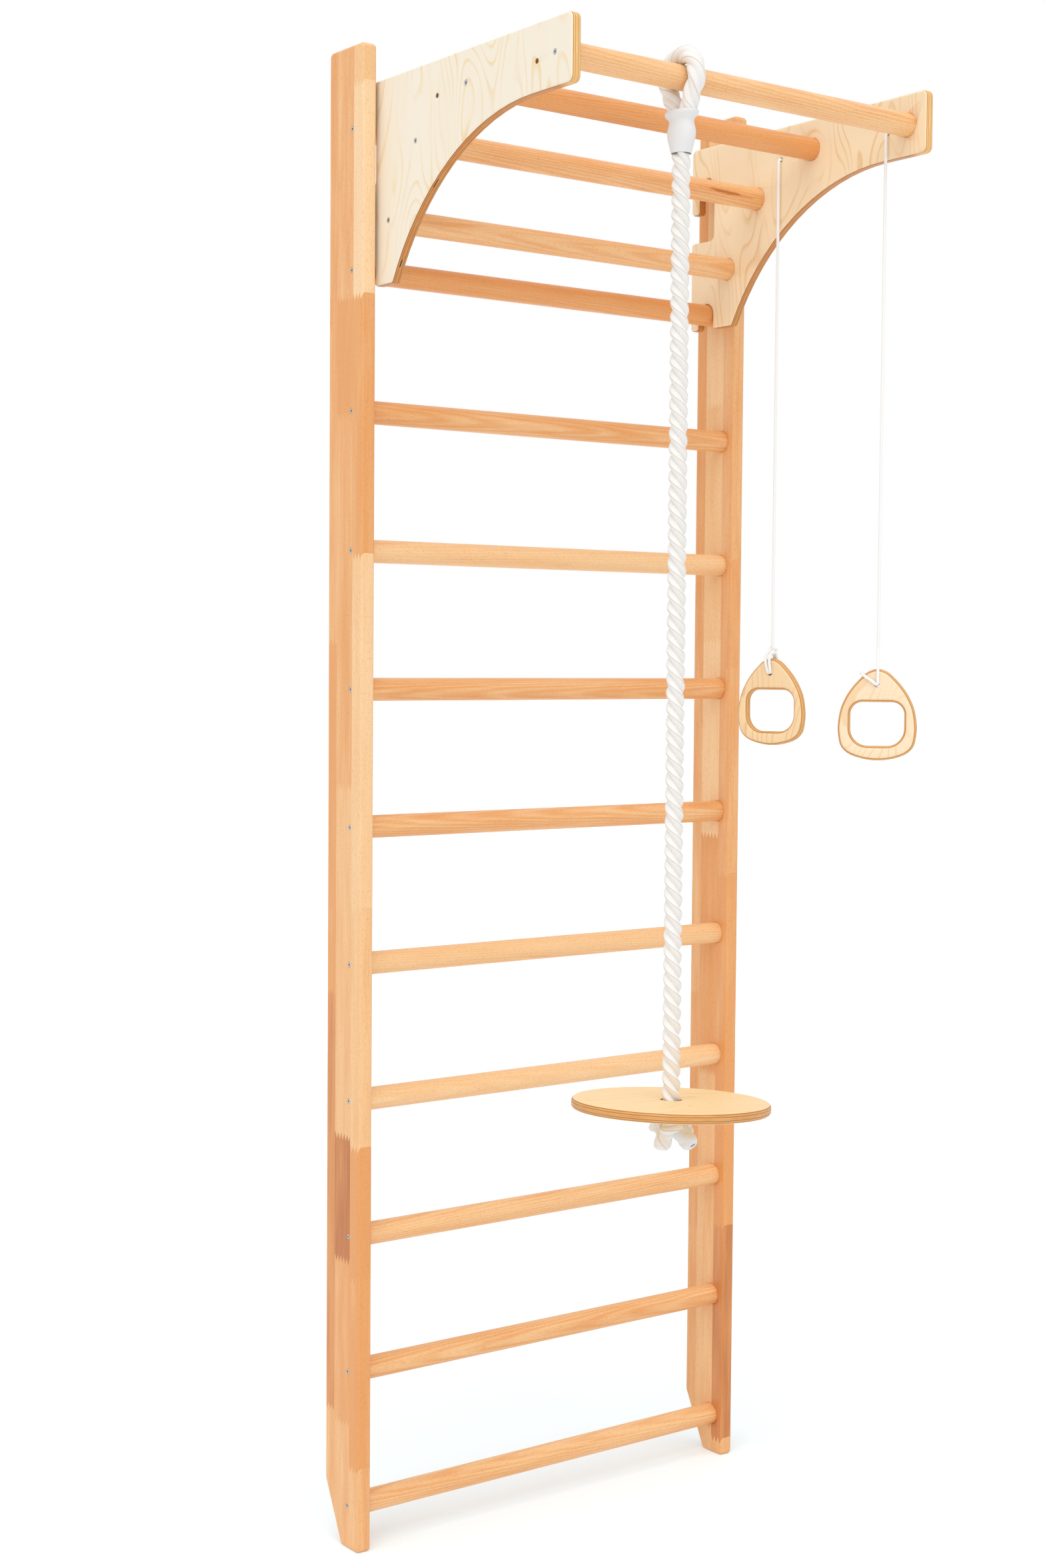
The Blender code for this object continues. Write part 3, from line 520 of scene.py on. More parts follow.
# Open joints that show on the edge: (height, depth in the board)
CHEEK_GAPS = {"left": ((2.161, 0.0050), (2.0535, 0.0062)), "right": ()}
for side, look in CHEEK_LOOKS.items():
    low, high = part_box(side + "_cheek")
    cheek = smooth_copy(side + "_cheek", side + "_birch_cheek")
    ply = cheek_finish(side + "_cheek_birch", low, high, look, CHEEK_GAPS[side])
    dress(cheek, ply, "canopy", "birch_plywood", side + "_cheek")


# Canopy bars: four beech rods turned like the rungs, each end in a blind socket of a cheek, with a screw.
# The upper one is the brownest, and the middle one has a dark knot near its right end.
BAR_LOOKS = {
    "pull_up_bar": (0.02, 2.4),
    "upper_bar": (0.52, 5.2),
    "middle_bar": (0.14, 7.7),
    "lower_bar": (0.02, 9.6),
}
KNOT_FROM_END = 0.095
KNOT_BELOW_MIDDLE = 0.002
KNOT_LENGTH = 0.050
KNOT_HEIGHT = 0.0042
for node, (tone, seed) in BAR_LOOKS.items():
    knot = None
    if node == "middle_bar":
        low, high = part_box(node)
        knot_z = (low.z + high.z) / 2 - KNOT_BELOW_MIDDLE
        knot = (high.x - KNOT_FROM_END, knot_z, KNOT_LENGTH, KNOT_HEIGHT)
    make_rod(node, "canopy", tone, seed, knot)


# Climbing rope: three laid strands of white fibre. Its eye goes over the pull-up bar and both legs go into a
# sleeve; the long leg hangs free, through the seat disc, to a stopper knot below.
ROPE_WHITE = (0.89, 0.87, 0.84)
# Painted shade for the grooves between the strands
ROPE_GROOVE_SHADE = (0.66, 0.57, 0.48)
ROPE_ROUGHNESS = 0.85
ROPE_LAY = -0.064
ROPE_SIDES = 36
ROPE_STEP = 0.003
ROPE_BUMP = 0.22
ROPE_RELIEF = 0.0007
STRANDS = 3
STRAND_SHARE = 0.515
# How far from a strand's crown the painted groove shade starts and is full, as a share of the strand
GROOVE_SHADE_FADE = (0.43, 0.51)
YARNS = 7.0
YARN_LENGTH = 0.016
YARN_SHARE = 0.5
FLUFF_AROUND = 40.0
FLUFF_LENGTH = 0.004
FLUFF_SHARE = 0.4
GROOVE_SHADE_FLUFF = 0.04
TUBE_SHARP = math.radians(75)
# Share of X in a path's first direction above which the tube's start is measured from Y instead
MOSTLY_X = 0.8
bar_low, bar_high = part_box("pull_up_bar")
bar_middle = (bar_low + bar_high) / 2
bar_radius = (bar_high.z - bar_low.z) / 2
rope_low, rope_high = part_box("climbing_rope")
rope_axis = (rope_low + rope_high) / 2
rope_radius = (rope_high.y - rope_low.y) / 2
sleeve_low, sleeve_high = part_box("rope_sleeve")
disc_low, disc_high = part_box("seat_disc")


def rope_finish(name):
    """White fibre with painted shade in the grooves between the strands; the yarns lie along each strand."""
    material, inputs, place = new_finish(name, ROPE_ROUGHNESS, "UV")
    around, along, _ = place.parts()
    strand = (around * float(STRANDS)).math("FRACT")
    yarn = ((strand * YARNS + along / YARN_LENGTH) * (2 * math.pi)).math("SINE")
    fluff = point(around * FLUFF_AROUND, along / FLUFF_LENGTH, 0.0).noise()
    # Painted shade: the grooves between the strands are drawn darker.
    groove_shade = (strand.off(0.5) + (fluff - NOISE_MIDDLE) * GROOVE_SHADE_FLUFF).step(*GROOVE_SHADE_FADE)
    groove_shade.pick(ROPE_WHITE, ROPE_GROOVE_SHADE).into(inputs["Base Color"])
    add_bump(yarn * YARN_SHARE + fluff * FLUFF_SHARE, inputs, ROPE_BUMP, ROPE_RELIEF)
    return material


def strand_reach(angle, radius):
    """Outline of the strands side by side: the farthest of their circles at this angle."""
    strand = radius * STRAND_SHARE
    centre = radius - strand
    off = (angle + math.pi / STRANDS) % (2 * math.pi / STRANDS) - math.pi / STRANDS
    return centre * math.cos(off) + math.sqrt(strand * strand - (centre * math.sin(off)) ** 2)


def sweep(name, path, reach, sides, lay=0.0, sizes=None, cyclic=False):
    """Tube along a path; reach gives the radius at an angle, lay is the length of one turn, and sizes scales
    each point. The UV map holds the share of the way round and the length gone."""
    route = [Vector(spot) for spot in path]
    count = len(route)
    tangents = []
    for index in range(count):
        ahead = route[(index + 1) % count if cyclic else min(index + 1, count - 1)]
        behind = route[index - 1 if cyclic else max(index - 1, 0)]
        tangents.append((ahead - behind).normalized())
    start = Vector((1.0, 0.0, 0.0)) if abs(tangents[0].x) < MOSTLY_X else Vector((0.0, 1.0, 0.0))
    normal = (start - tangents[0] * start.dot(tangents[0])).normalized()
    bm = bmesh.new()
    rings = []
    gone = [0.0]
    for index, tangent in enumerate(tangents):
        if index:
            gone.append(gone[-1] + (route[index] - route[index - 1]).length)
            normal = tangents[index - 1].rotation_difference(tangent) @ normal
        side_way = tangent.cross(normal)
        twist = 2 * math.pi * gone[-1] / lay if lay else 0.0
        size = sizes[index] if sizes else 1.0
        ring = []
        for step in range(sides):
            angle = 2 * math.pi * step / sides
            away = normal * math.cos(angle + twist) + side_way * math.sin(angle + twist)
            ring.append(bm.verts.new(route[index] + away * reach(angle) * size))
        rings.append(ring)
    layer = bm.loops.layers.uv.new("lay")
    gone.append(gone[-1] + (route[-1] - route[0]).length)
    for index in range(count if cyclic else count - 1):
        for step in range(sides):
            after = (step + 1) % sides
            following = rings[(index + 1) % count]
            face = bm.faces.new((rings[index][step], rings[index][after], following[after], following[step]))
            spots = ((step, index), (step + 1, index), (step + 1, index + 1), (step, index + 1))
            for loop, (turn, row) in zip(face.loops, spots):
                loop[layer].uv = (turn / sides, gone[row])
    if not cyclic:
        bm.faces.new(list(reversed(rings[0])))
        bm.faces.new(rings[-1])
    return settled(bm, name, TUBE_SHARP)


def through(points, steps, cyclic=False):
    """Points of a smooth curve through a route's own points."""
    route = [Vector(spot) for spot in points]
    count = len(route)
    path = []
    for index in range(count if cyclic else count - 1):
        if cyclic:
            p0, p1, p2, p3 = (route[(index + shift) % count] for shift in (-1, 0, 1, 2))
        else:
            p0, p1, p2 = route[max(index - 1, 0)], route[index], route[index + 1]
            p3 = route[min(index + 2, count - 1)]
        for step in range(steps):
            t = step / steps
            spot = 2 * p1 + (p2 - p0) * t + (2 * p0 - 5 * p1 + 4 * p2 - p3) * t * t
            path.append(0.5 * (spot + (3 * p1 - p0 - 3 * p2 + p3) * t * t * t))
    if not cyclic:
        path.append(route[-1])
    return path


def evenly(path, spacing):
    """A path's points again, at even spacing."""
    gone = [0.0]
    for first, second in zip(path, path[1:]):
        gone.append(gone[-1] + (second - first).length)
    count = max(2, round(gone[-1] / spacing))
    found = []
    index = 0
    for step in range(count + 1):
        target = gone[-1] * step / count
        while index < len(path) - 2 and gone[index + 1] < target:
            index += 1
        span = gone[index + 1] - gone[index]
        found.append(path[index].lerp(path[index + 1], (target - gone[index]) / span if span else 0.0))
    return found


def rope_reach(angle):
    return strand_reach(angle, rope_radius)


# Share of the way from three strands to a plain round, because the eye is pressed flatter than the free rope
EYE_FLATTENING = 0.45
EYE_LAY = 1.4 * ROPE_LAY
EYE_CLEARANCE = 0.0004
EYE_BEND_STEPS = 12
EYE_CURVE_STEPS = 6
# Depth below the bar's middle and spread from it: where a leg ends in the sleeve, and where it opens out
LEG_END_DEPTH = 0.0545
LEG_END_SPREAD = 0.0147
LEG_DEPTH = 0.047
LEG_SPREAD = 0.0155


def eye_reach_at(angle):
    return rope_reach(angle) * (1.0 - EYE_FLATTENING) + rope_radius * EYE_FLATTENING


rope_material = rope_finish("laid_rope")
eye_reach = bar_radius + rope_radius + EYE_CLEARANCE
rear_half = [(LEG_END_SPREAD, -LEG_END_DEPTH), (LEG_SPREAD, -LEG_DEPTH)]
for share in (0.25, 0.5, 0.75):
    ease = share * share * (3.0 - 2.0 * share)
    rear_half.append((LEG_SPREAD + (eye_reach - LEG_SPREAD) * ease, -LEG_DEPTH * (1.0 - share)))
for step in range(EYE_BEND_STEPS + 1):
    angle = math.pi / 2 * step / EYE_BEND_STEPS
    rear_half.append((eye_reach * math.cos(angle), eye_reach * math.sin(angle)))
front_half = [(-spread, rise) for spread, rise in reversed(rear_half[:-1])]
eye_route = []
for spread, rise in rear_half + front_half:
    eye_route.append((rope_axis.x, bar_middle.y + spread, bar_middle.z + rise))
eye_path = evenly(through(eye_route, EYE_CURVE_STEPS), ROPE_STEP)
eye = sweep("rope_eye_laid", eye_path, eye_reach_at, ROPE_SIDES, EYE_LAY)
dress(eye, rope_material, "rope_eye", "white_rope", "rope_eye")

rope_start = Vector((rope_axis.x, rope_axis.y, sleeve_low.z))
rope_stop = Vector((rope_axis.x, rope_axis.y, disc_low.z))
rope_path = evenly([rope_start, rope_stop], ROPE_STEP)
rope = sweep("climbing_rope_laid", rope_path, rope_reach, ROPE_SIDES, ROPE_LAY)
rope.data.materials.append(rope_material)
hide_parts("climbing_rope")
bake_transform(rope)


# Rope sleeve: white plastic, shrunk on, that binds both legs of the eye to the rope.
# It flares to a lip at its top, is drawn in below that, swells again and narrows down to the rope.
SLEEVE_WHITE = (0.80, 0.80, 0.80)
SLEEVE_ROUGHNESS = 0.55
SLEEVE_SIDES = 48
SLEEVE_DIMPLES = Vector((90.0, 90.0, 60.0))
SLEEVE_BUMP = 0.25
SLEEVE_RELIEF = 0.002
# Share of the way down, half width in X, half depth in Y; the first two and the last two are inside
SLEEVE_SECTIONS = (
    (0.060, 0.0100, 0.0200),
    (0.040, 0.0165, 0.0270),
    (0.000, 0.0186, 0.0295),
    (0.015, 0.0197, 0.0307),
    (0.060, 0.0199, 0.0309),
    (0.110, 0.0188, 0.0292),
    (0.160, 0.0162, 0.0244),
    (0.220, 0.0150, 0.0220),
    (0.320, 0.0158, 0.0228),
    (0.430, 0.0174, 0.0248),
    (0.540, 0.0180, 0.0253),
    (0.660, 0.0176, 0.0236),
    (0.780, 0.0167, 0.0208),
    (0.900, 0.0157, 0.0178),
    (0.985, 0.0151, 0.0158),
    (1.000, 0.0147, 0.0152),
    (0.985, 0.0142, 0.0146),
    (0.900, 0.0130, 0.0135),
)
sleeve_material, sleeve_inputs, sleeve_coords = new_finish("shrunk_sleeve", SLEEVE_ROUGHNESS)
sleeve_inputs["Base Color"].default_value = (*SLEEVE_WHITE, 1.0)
add_bump((sleeve_coords * SLEEVE_DIMPLES).noise(), sleeve_inputs, SLEEVE_BUMP, SLEEVE_RELIEF)
bm = bmesh.new()
rings = []
for share, half_x, half_y in SLEEVE_SECTIONS:
    z = sleeve_high.z + (sleeve_low.z - sleeve_high.z) * share
    ring = []
    for step in range(SLEEVE_SIDES):
        angle = 2 * math.pi * step / SLEEVE_SIDES
        spot = (rope_axis.x + half_x * math.cos(angle), bar_middle.y + half_y * math.sin(angle), z)
        ring.append(bm.verts.new(spot))
    rings.append(ring)
skin(bm, rings)
bm.faces.new(rings[0])
bm.faces.new(rings[-1])
sleeve = settled(bm, "rope_sleeve_shrunk", TUBE_SHARP)
dress(sleeve, sleeve_material, "rope_eye", "white_sleeve", "rope_sleeve")


# Seat disc: round birch plywood with rounded edges, threaded on the rope through a hole with room to spare.
# It rests on the stopper knot and hangs a little out of level.
SEAT_SIDES = 128
SEAT_HOLE = 0.0168
SEAT_ROUND = 0.0055
SEAT_BEND_STEPS = 6
SEAT_LOOK = ((0.98, 0.705, 0.36), (0.88, 0.53, 0.21), 4.0)
SEAT_WEAR = 0.7
SEAT_LEAN_BACK = math.radians(3.4)
SEAT_LEAN_RIGHT = math.radians(1.4)
# Turn about Z that sets X across the photograph, for what is known only from that side
VIEW_TURN = math.radians(-37)
disc_middle = (disc_low + disc_high) / 2
disc_radius = (disc_high.x - disc_low.x) / 2
disc_thickness = disc_high.z - disc_low.z
seat_place = Matrix.Translation(disc_middle) @ Matrix.Rotation(VIEW_TURN, 4, "Z")
seat_place = seat_place @ Matrix.Rotation(-SEAT_LEAN_BACK, 4, "X") @ Matrix.Rotation(SEAT_LEAN_RIGHT, 4, "Y")
seat_up = seat_place.to_3x3() @ Vector((0.0, 0.0, 1.0))
seat_material, seat_inputs, seat_coords = new_finish("seat_birch", PLY_ROUGHNESS)
seat_x, seat_y, seat_z = (seat_coords - disc_middle).parts()
seat_deep = seat_x * seat_up.x + seat_y * seat_up.y + seat_z * seat_up.z + disc_thickness / 2
draw_ply(seat_deep, seat_x, seat_y, disc_thickness, seat_inputs, SEAT_LOOK, SEAT_WEAR)
profile = []
for step in range(SEAT_BEND_STEPS + 1):
    angle = math.pi / 2 * step / SEAT_BEND_STEPS
    inset = SEAT_ROUND * (1.0 - math.sin(angle))
    profile.append((SEAT_ROUND * (1.0 - math.cos(angle)) - disc_thickness / 2, disc_radius - inset))
profile += [(-z, reach) for z, reach in reversed(profile)]
profile = [(-disc_thickness / 2, SEAT_HOLE)] + profile + [(disc_thickness / 2, SEAT_HOLE)]
bm = bmesh.new()
rings = []
for z, reach in profile:
    ring = []
    for step in range(SEAT_SIDES):
        angle = 2 * math.pi * step / SEAT_SIDES
        ring.append(bm.verts.new(seat_place @ Vector((reach * math.cos(angle), reach * math.sin(angle), z))))
    rings.append(ring)
skin(bm, rings, closed=True)
seat = settled(bm, "seat_disc_birch")
dress(seat, seat_material, "seat", "birch_plywood", "seat_disc")


# Stopper knot: the rope's end, tied below the seat to carry it. Its wraps lie flat and close.
# Two ends stick out: the left one is bare fibre, the right one has a white cap with a dark slot.
WRAP_RADIUS = 0.0120
WRAP_LAY = 0.060
WRAP_DROP = 0.0225
WRAP_WIDTH = 0.0088
WRAP_DEPTH = 0.0076
WRAP_RISE = 0.0070
WRAP_STEPS = 120
WRAP_CLEARANCE = 0.0015
knot_top = Vector((rope_axis.x, rope_axis.y, disc_low.z - WRAP_CLEARANCE))
knot_place = Matrix.Translation(knot_top) @ Matrix.Rotation(VIEW_TURN, 4, "Z")


def overhand(angle, width, depth, rise):
    """Point of an overhand knot's closed curve: across, deep and up."""
    across = width * (math.sin(angle) + 2.0 * math.sin(2 * angle))
    deep = depth * (math.cos(angle) - 2.0 * math.cos(2 * angle))
    return Vector((across, deep, -rise * math.sin(3 * angle)))


def wrap_reach(angle):
    return strand_reach(angle, WRAP_RADIUS)


wrap_path = []
for step in range(WRAP_STEPS):
    spot = overhand(2 * math.pi * step / WRAP_STEPS, WRAP_WIDTH, WRAP_DEPTH, WRAP_RISE)
    wrap_path.append(knot_place @ (spot - Vector((0.0, 0.0, WRAP_DROP))))
wraps = sweep("rope_knot_wraps", wrap_path, wrap_reach, ROPE_SIDES, WRAP_LAY, cyclic=True)
dress(wraps, rope_material, "rope", "white_rope", "rope_knot")

END_RADIUS = 0.0128
END_FLATTENING = 0.7
END_LAY = -0.090
END_SIDES = 36
END_STEP = 0.0015
END_CURVE_STEPS = 8
# Routes in the knot's own frame, and each end's size along its route: (share of the way, size)
END_ROUTES = {
    "left": (
        (-0.002, -0.012, -0.022),
        (-0.009, -0.015, -0.031),
        (-0.012, -0.015, -0.041),
        (-0.0125, -0.015, -0.055),
    ),
    "right": (
        (0.004, -0.013, -0.022),
        (0.014, -0.018, -0.030),
        (0.0235, -0.023, -0.038),
        (0.0315, -0.030, -0.045),
    ),
}
END_SIZES = {
    "left": ((0.0, 0.85), (0.30, 0.92), (0.62, 1.08), (0.85, 1.08), (0.95, 0.92), (1.0, 0.62)),
    "right": ((0.0, 0.80), (0.30, 0.98), (0.60, 1.14), (0.86, 1.10), (0.96, 0.92), (1.0, 0.66)),
}
SLOT_BROWN = (0.15, 0.11, 0.07)
SLOT_TILT = math.radians(60)
# Distances from the slot's middle, across and along it, at which its colour starts to fade and is gone
SLOT_WIDTH = (0.0008, 0.0016)
SLOT_LENGTH = (0.0030, 0.0042)
cap_material, cap_inputs, cap_coords = new_finish("rope_end_cap", SLEEVE_ROUGHNESS)
cap_tip = knot_place @ Vector(END_ROUTES["right"][-1])
cap_x, cap_y, cap_z = (cap_coords - cap_tip).parts()
cap_across = cap_x * math.cos(VIEW_TURN) + cap_y * math.sin(VIEW_TURN)
slot_off = (cap_across * math.cos(SLOT_TILT) - cap_z * math.sin(SLOT_TILT)).math("ABSOLUTE")
slot_run = (cap_across * math.sin(SLOT_TILT) + cap_z * math.cos(SLOT_TILT)).math("ABSOLUTE")
slot_share = (1.0 - slot_off.step(*SLOT_WIDTH)) * (1.0 - slot_run.step(*SLOT_LENGTH))
slot_share.pick(SLEEVE_WHITE, SLOT_BROWN).into(cap_inputs["Base Color"])


def rope_end_reach(angle):
    return strand_reach(angle, END_RADIUS) * (1.0 - END_FLATTENING) + END_RADIUS * END_FLATTENING


for side, route in END_ROUTES.items():
    path = evenly(through([knot_place @ Vector(spot) for spot in route], END_CURVE_STEPS), END_STEP)
    sizes = []
    for index in range(len(path)):
        share = index / (len(path) - 1)
        for (low_share, low_size), (high_share, high_size) in zip(END_SIZES[side], END_SIZES[side][1:]):
            if low_share <= share <= high_share:
                gone = (share - low_share) / (high_share - low_share)
                sizes.append(low_size + (high_size - low_size) * gone)
                break
    end = sweep(side + "_rope_end", path, rope_end_reach, END_SIDES, END_LAY, sizes=sizes)
    end.data.materials.append(cap_material if side == "right" else rope_material)
    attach(end, "rope")


# Hand rings: two pick-shaped rings cut from birch plywood, with every edge rounded over.
# Each has a rounded hand hole, and a small hole at the top through which its cord is tied.
RING_WIDTH = 0.128
RING_HEIGHT = 0.149
RING_THICKNESS = 0.017
RING_ROUND = 0.0078
RING_BEND_STEPS = 5
RING_STEPS = 128
RING_CURVE_STEPS = 12
RING_HOLE_DROP = 0.025
RING_HOLE_RADIUS = 0.0048
RING_HOLE_SIDES = 32
RING_WEAR = 0.35
GRIP_WIDTH = 0.087
GRIP_TOP_DROP = 0.054
GRIP_HEIGHT = 0.071
GRIP_TOP_ROUND = 0.020
GRIP_LOW_ROUND = 0.028
GRIP_BEND_STEPS = 12
# Half outline from beside the top: shares of the half width and of the height
RING_OUTLINE = (
    (0.24, 0.030),
    (0.43, 0.100),
    (0.63, 0.195),
    (0.80, 0.305),
    (0.935, 0.440),
    (1.0, 0.610),
    (0.985, 0.740),
    (0.91, 0.855),
    (0.70, 0.935),
    (0.36, 0.983),
)
RING_TURNS = {"front": math.radians(-51), "rear": math.radians(-71)}
RING_LOOKS = {
    "front": ((0.96, 0.76, 0.53), (0.88, 0.60, 0.32), 11.0),
    "rear": ((0.93, 0.70, 0.42), (0.80, 0.50, 0.22), 14.0),
}
NEARLY_PARALLEL = 1e-12
CORNER_SLACK = 1e-6


def by_angle(outline, centre, steps):
    """Where rays from a centre, at even angles, leave an outline."""
    found = []
    for step in range(steps):
        angle = 2 * math.pi * step / steps
        ray = Vector((math.cos(angle), math.sin(angle)))
        best = 0.0
        for index, spot in enumerate(outline):
            first = Vector(outline[index - 1]) - centre
            edge = Vector(spot) - centre - first
            turn = ray.x * edge.y - ray.y * edge.x
            if abs(turn) < NEARLY_PARALLEL:
                continue
            along = (first.x * edge.y - first.y * edge.x) / turn
            share = (first.x * ray.y - first.y * ray.x) / turn
            if along > best and -CORNER_SLACK <= share <= 1.0 + CORNER_SLACK:
                best = along
        found.append(centre + ray * best)
    return found


def grip_outline():
    """Rounded rectangle of the hand hole as (across, z) points."""
    half = GRIP_WIDTH / 2
    top = -GRIP_TOP_DROP
    low = top - GRIP_HEIGHT
    corners = (
        (half - GRIP_TOP_ROUND, top - GRIP_TOP_ROUND, GRIP_TOP_ROUND),
        (GRIP_TOP_ROUND - half, top - GRIP_TOP_ROUND, GRIP_TOP_ROUND),
        (GRIP_LOW_ROUND - half, low + GRIP_LOW_ROUND, GRIP_LOW_ROUND),
        (half - GRIP_LOW_ROUND, low + GRIP_LOW_ROUND, GRIP_LOW_ROUND),
    )
    outline = []
    for quarter, (middle_x, middle_z, bend) in enumerate(corners):
        for step in range(GRIP_BEND_STEPS + 1):
            angle = math.pi / 2 * (quarter + step / GRIP_BEND_STEPS)
            outline.append((middle_x + bend * math.cos(angle), middle_z + bend * math.sin(angle)))
    return outline


def ring_section():
    """The rim's rounded section: (1 for the outer or -1 for the inner outline, depth, way out from it)."""
    section = []
    for quarter, (edge, face) in enumerate(((1, -1), (1, 1), (-1, 1), (-1, -1))):
        for step in range(RING_BEND_STEPS + 1):
            angle = math.pi / 2 * (quarter - 1 + step / RING_BEND_STEPS)
            out = RING_ROUND * (math.cos(angle) - edge)
            sink = RING_ROUND * (math.sin(angle) - face)
            section.append((edge, face * RING_THICKNESS / 2 + sink, out))
    return section


def drilled(body, drill, reach):
    """The body with the ring's small hole through it, along the X axis of a placing matrix."""
    name = body.name
    bm = bmesh.new()
    stations = [(-reach, 0.0), (-reach, RING_HOLE_RADIUS), (reach, RING_HOLE_RADIUS), (reach, 0.0)]
    turned(bm, stations, RING_HOLE_SIDES, drill)
    cutter = settled(bm, name + "_drill")
    modifier = body.modifiers.new("drill", "BOOLEAN")
    modifier.operation = "DIFFERENCE"
    modifier.object = cutter
    bpy.context.view_layer.update()
    graph = bpy.context.evaluated_depsgraph_get()
    bored = bmesh.new()
    bored.from_object(body, graph)
    bpy.data.objects.remove(cutter)
    bpy.data.objects.remove(body)
    return settled(bored, name)


def ring_object(name, place):
    """Hand ring with its top at the placing matrix's origin and its faces across Y."""
    half = RING_WIDTH / 2
    right = [(half * across, 0.0, -RING_HEIGHT * down) for across, down in RING_OUTLINE]
    left = [(-x, y, z) for x, y, z in reversed(right)]
    route = [(0.0, 0.0, 0.0)] + right + [(0.0, 0.0, -RING_HEIGHT)] + left
    outer = [(spot.x, spot.z) for spot in through(route, RING_CURVE_STEPS, cyclic=True)]
    centre = Vector((0.0, -GRIP_TOP_DROP - GRIP_HEIGHT / 2))
    outside = by_angle(outer, centre, RING_STEPS)
    inside = by_angle(grip_outline(), centre, RING_STEPS)
    section = ring_section()
    bm = bmesh.new()
    rings = []
    for index in range(RING_STEPS):
        ahead = (index + 1) % RING_STEPS
        ring = []
        for edge, deep, out in section:
            line = outside if edge > 0 else inside
            tangent = (line[ahead] - line[index - 1]).normalized()
            outward = Vector((tangent.y, -tangent.x))
            spot = line[index] + outward * out
            ring.append(bm.verts.new(place @ Vector((spot.x, deep, spot.y))))
        rings.append(ring)
    skin(bm, rings, closed=True)
    drill = place @ Matrix.Translation((0.0, 0.0, -RING_HOLE_DROP)) @ Matrix.Rotation(math.pi / 2, 4, "Z")
    return drilled(settled(bm, name), drill, RING_THICKNESS)


ring_places = {}
for which, look in RING_LOOKS.items():
    low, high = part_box(which + "_hand_ring")
    turn = RING_TURNS[which]
    top = Vector(((low.x + high.x) / 2, (low.y + high.y) / 2, high.z))
    place = Matrix.Translation(top) @ Matrix.Rotation(turn, 4, "Z")
    ring_places[which] = place
    ring = ring_object(which + "_ring_birch", place)
    material, inputs, coords = new_finish(which + "_ring_ply", PLY_ROUGHNESS)
    x, y, z = coords.parts()
    off_x = x - top.x
    off_y = y - top.y
    deep = off_y * math.cos(turn) - off_x * math.sin(turn) + RING_THICKNESS / 2
    wide = off_x * math.cos(turn) + off_y * math.sin(turn)
    draw_ply(deep, z, wide, RING_THICKNESS, inputs, look, RING_WEAR)
    dress(ring, material, which + "_ring", "birch_plywood", which + "_hand_ring")


# Ring cords: thin white braided cord, knotted outside the right cheek and led through it down to the ring.
# The front one runs down the ring's face and hitches over its shoulder; the rear one is knotted above.
CORD_WHITE = (0.93, 0.93, 0.92)
CORD_SHADE = (0.88, 0.88, 0.88)
CORD_ROUGHNESS = 0.75
CORD_RADIUS = 0.0025
CORD_SIDES = 16
CORD_STEP = 0.0015
CORD_LONG_STEP = 0.010
CORD_BEND_STEPS = 10
LOOP_CURVE_STEPS = 8
CORD_CLEARANCE = 0.0004
BRAIDS_AROUND = 6.0
BRAID_LENGTH = 0.006
BRAID_FADE = (-1.4, 0.2)
BRAID_BUMP = 0.10
BRAID_RELIEF = 0.0003
CORD_HOLE_Z = 2.290
# Heights over each ring's top at which its hanging cord ends
CORD_ENDS = {"front": 0.034, "rear": 0.020}
TIE_SIZE = 0.0021
TIE_STEPS = 72
TIE_RISE = 1.3
STOPPER_OFF = 0.006
cord_material, cord_inputs, cord_coords = new_finish("braided_cord", CORD_ROUGHNESS, "UV")
around, along, _ = cord_coords.parts()
braid_left = ((around * BRAIDS_AROUND + along / BRAID_LENGTH) * (2 * math.pi)).math("SINE")
braid_right = ((around * BRAIDS_AROUND - along / BRAID_LENGTH) * (2 * math.pi)).math("SINE")
weave = braid_left * braid_right
weave.step(*BRAID_FADE).pick(CORD_SHADE, CORD_WHITE).into(cord_inputs["Base Color"])
add_bump(weave, cord_inputs, BRAID_BUMP, BRAID_RELIEF)


def cord_reach(angle):
    return CORD_RADIUS


def ride_cord(piece, body):
    piece.data.materials.append(cord_material)
    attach(piece, body)
    return piece


def tie(name, place, body):
    """Overhand knot in thin cord, drawn tight."""
    path = []
    for step in range(TIE_STEPS):
        spot = overhand(2 * math.pi * step / TIE_STEPS, 1.0, 1.0, TIE_RISE)
        path.append(place @ (spot * TIE_SIZE))
    ride_cord(sweep(name, path, cord_reach, CORD_SIDES, cyclic=True), body)


def strand(name, route, body):
    path = evenly(through(route, LOOP_CURVE_STEPS), CORD_STEP)
    return ride_cord(sweep(name, path, cord_reach, CORD_SIDES), body)


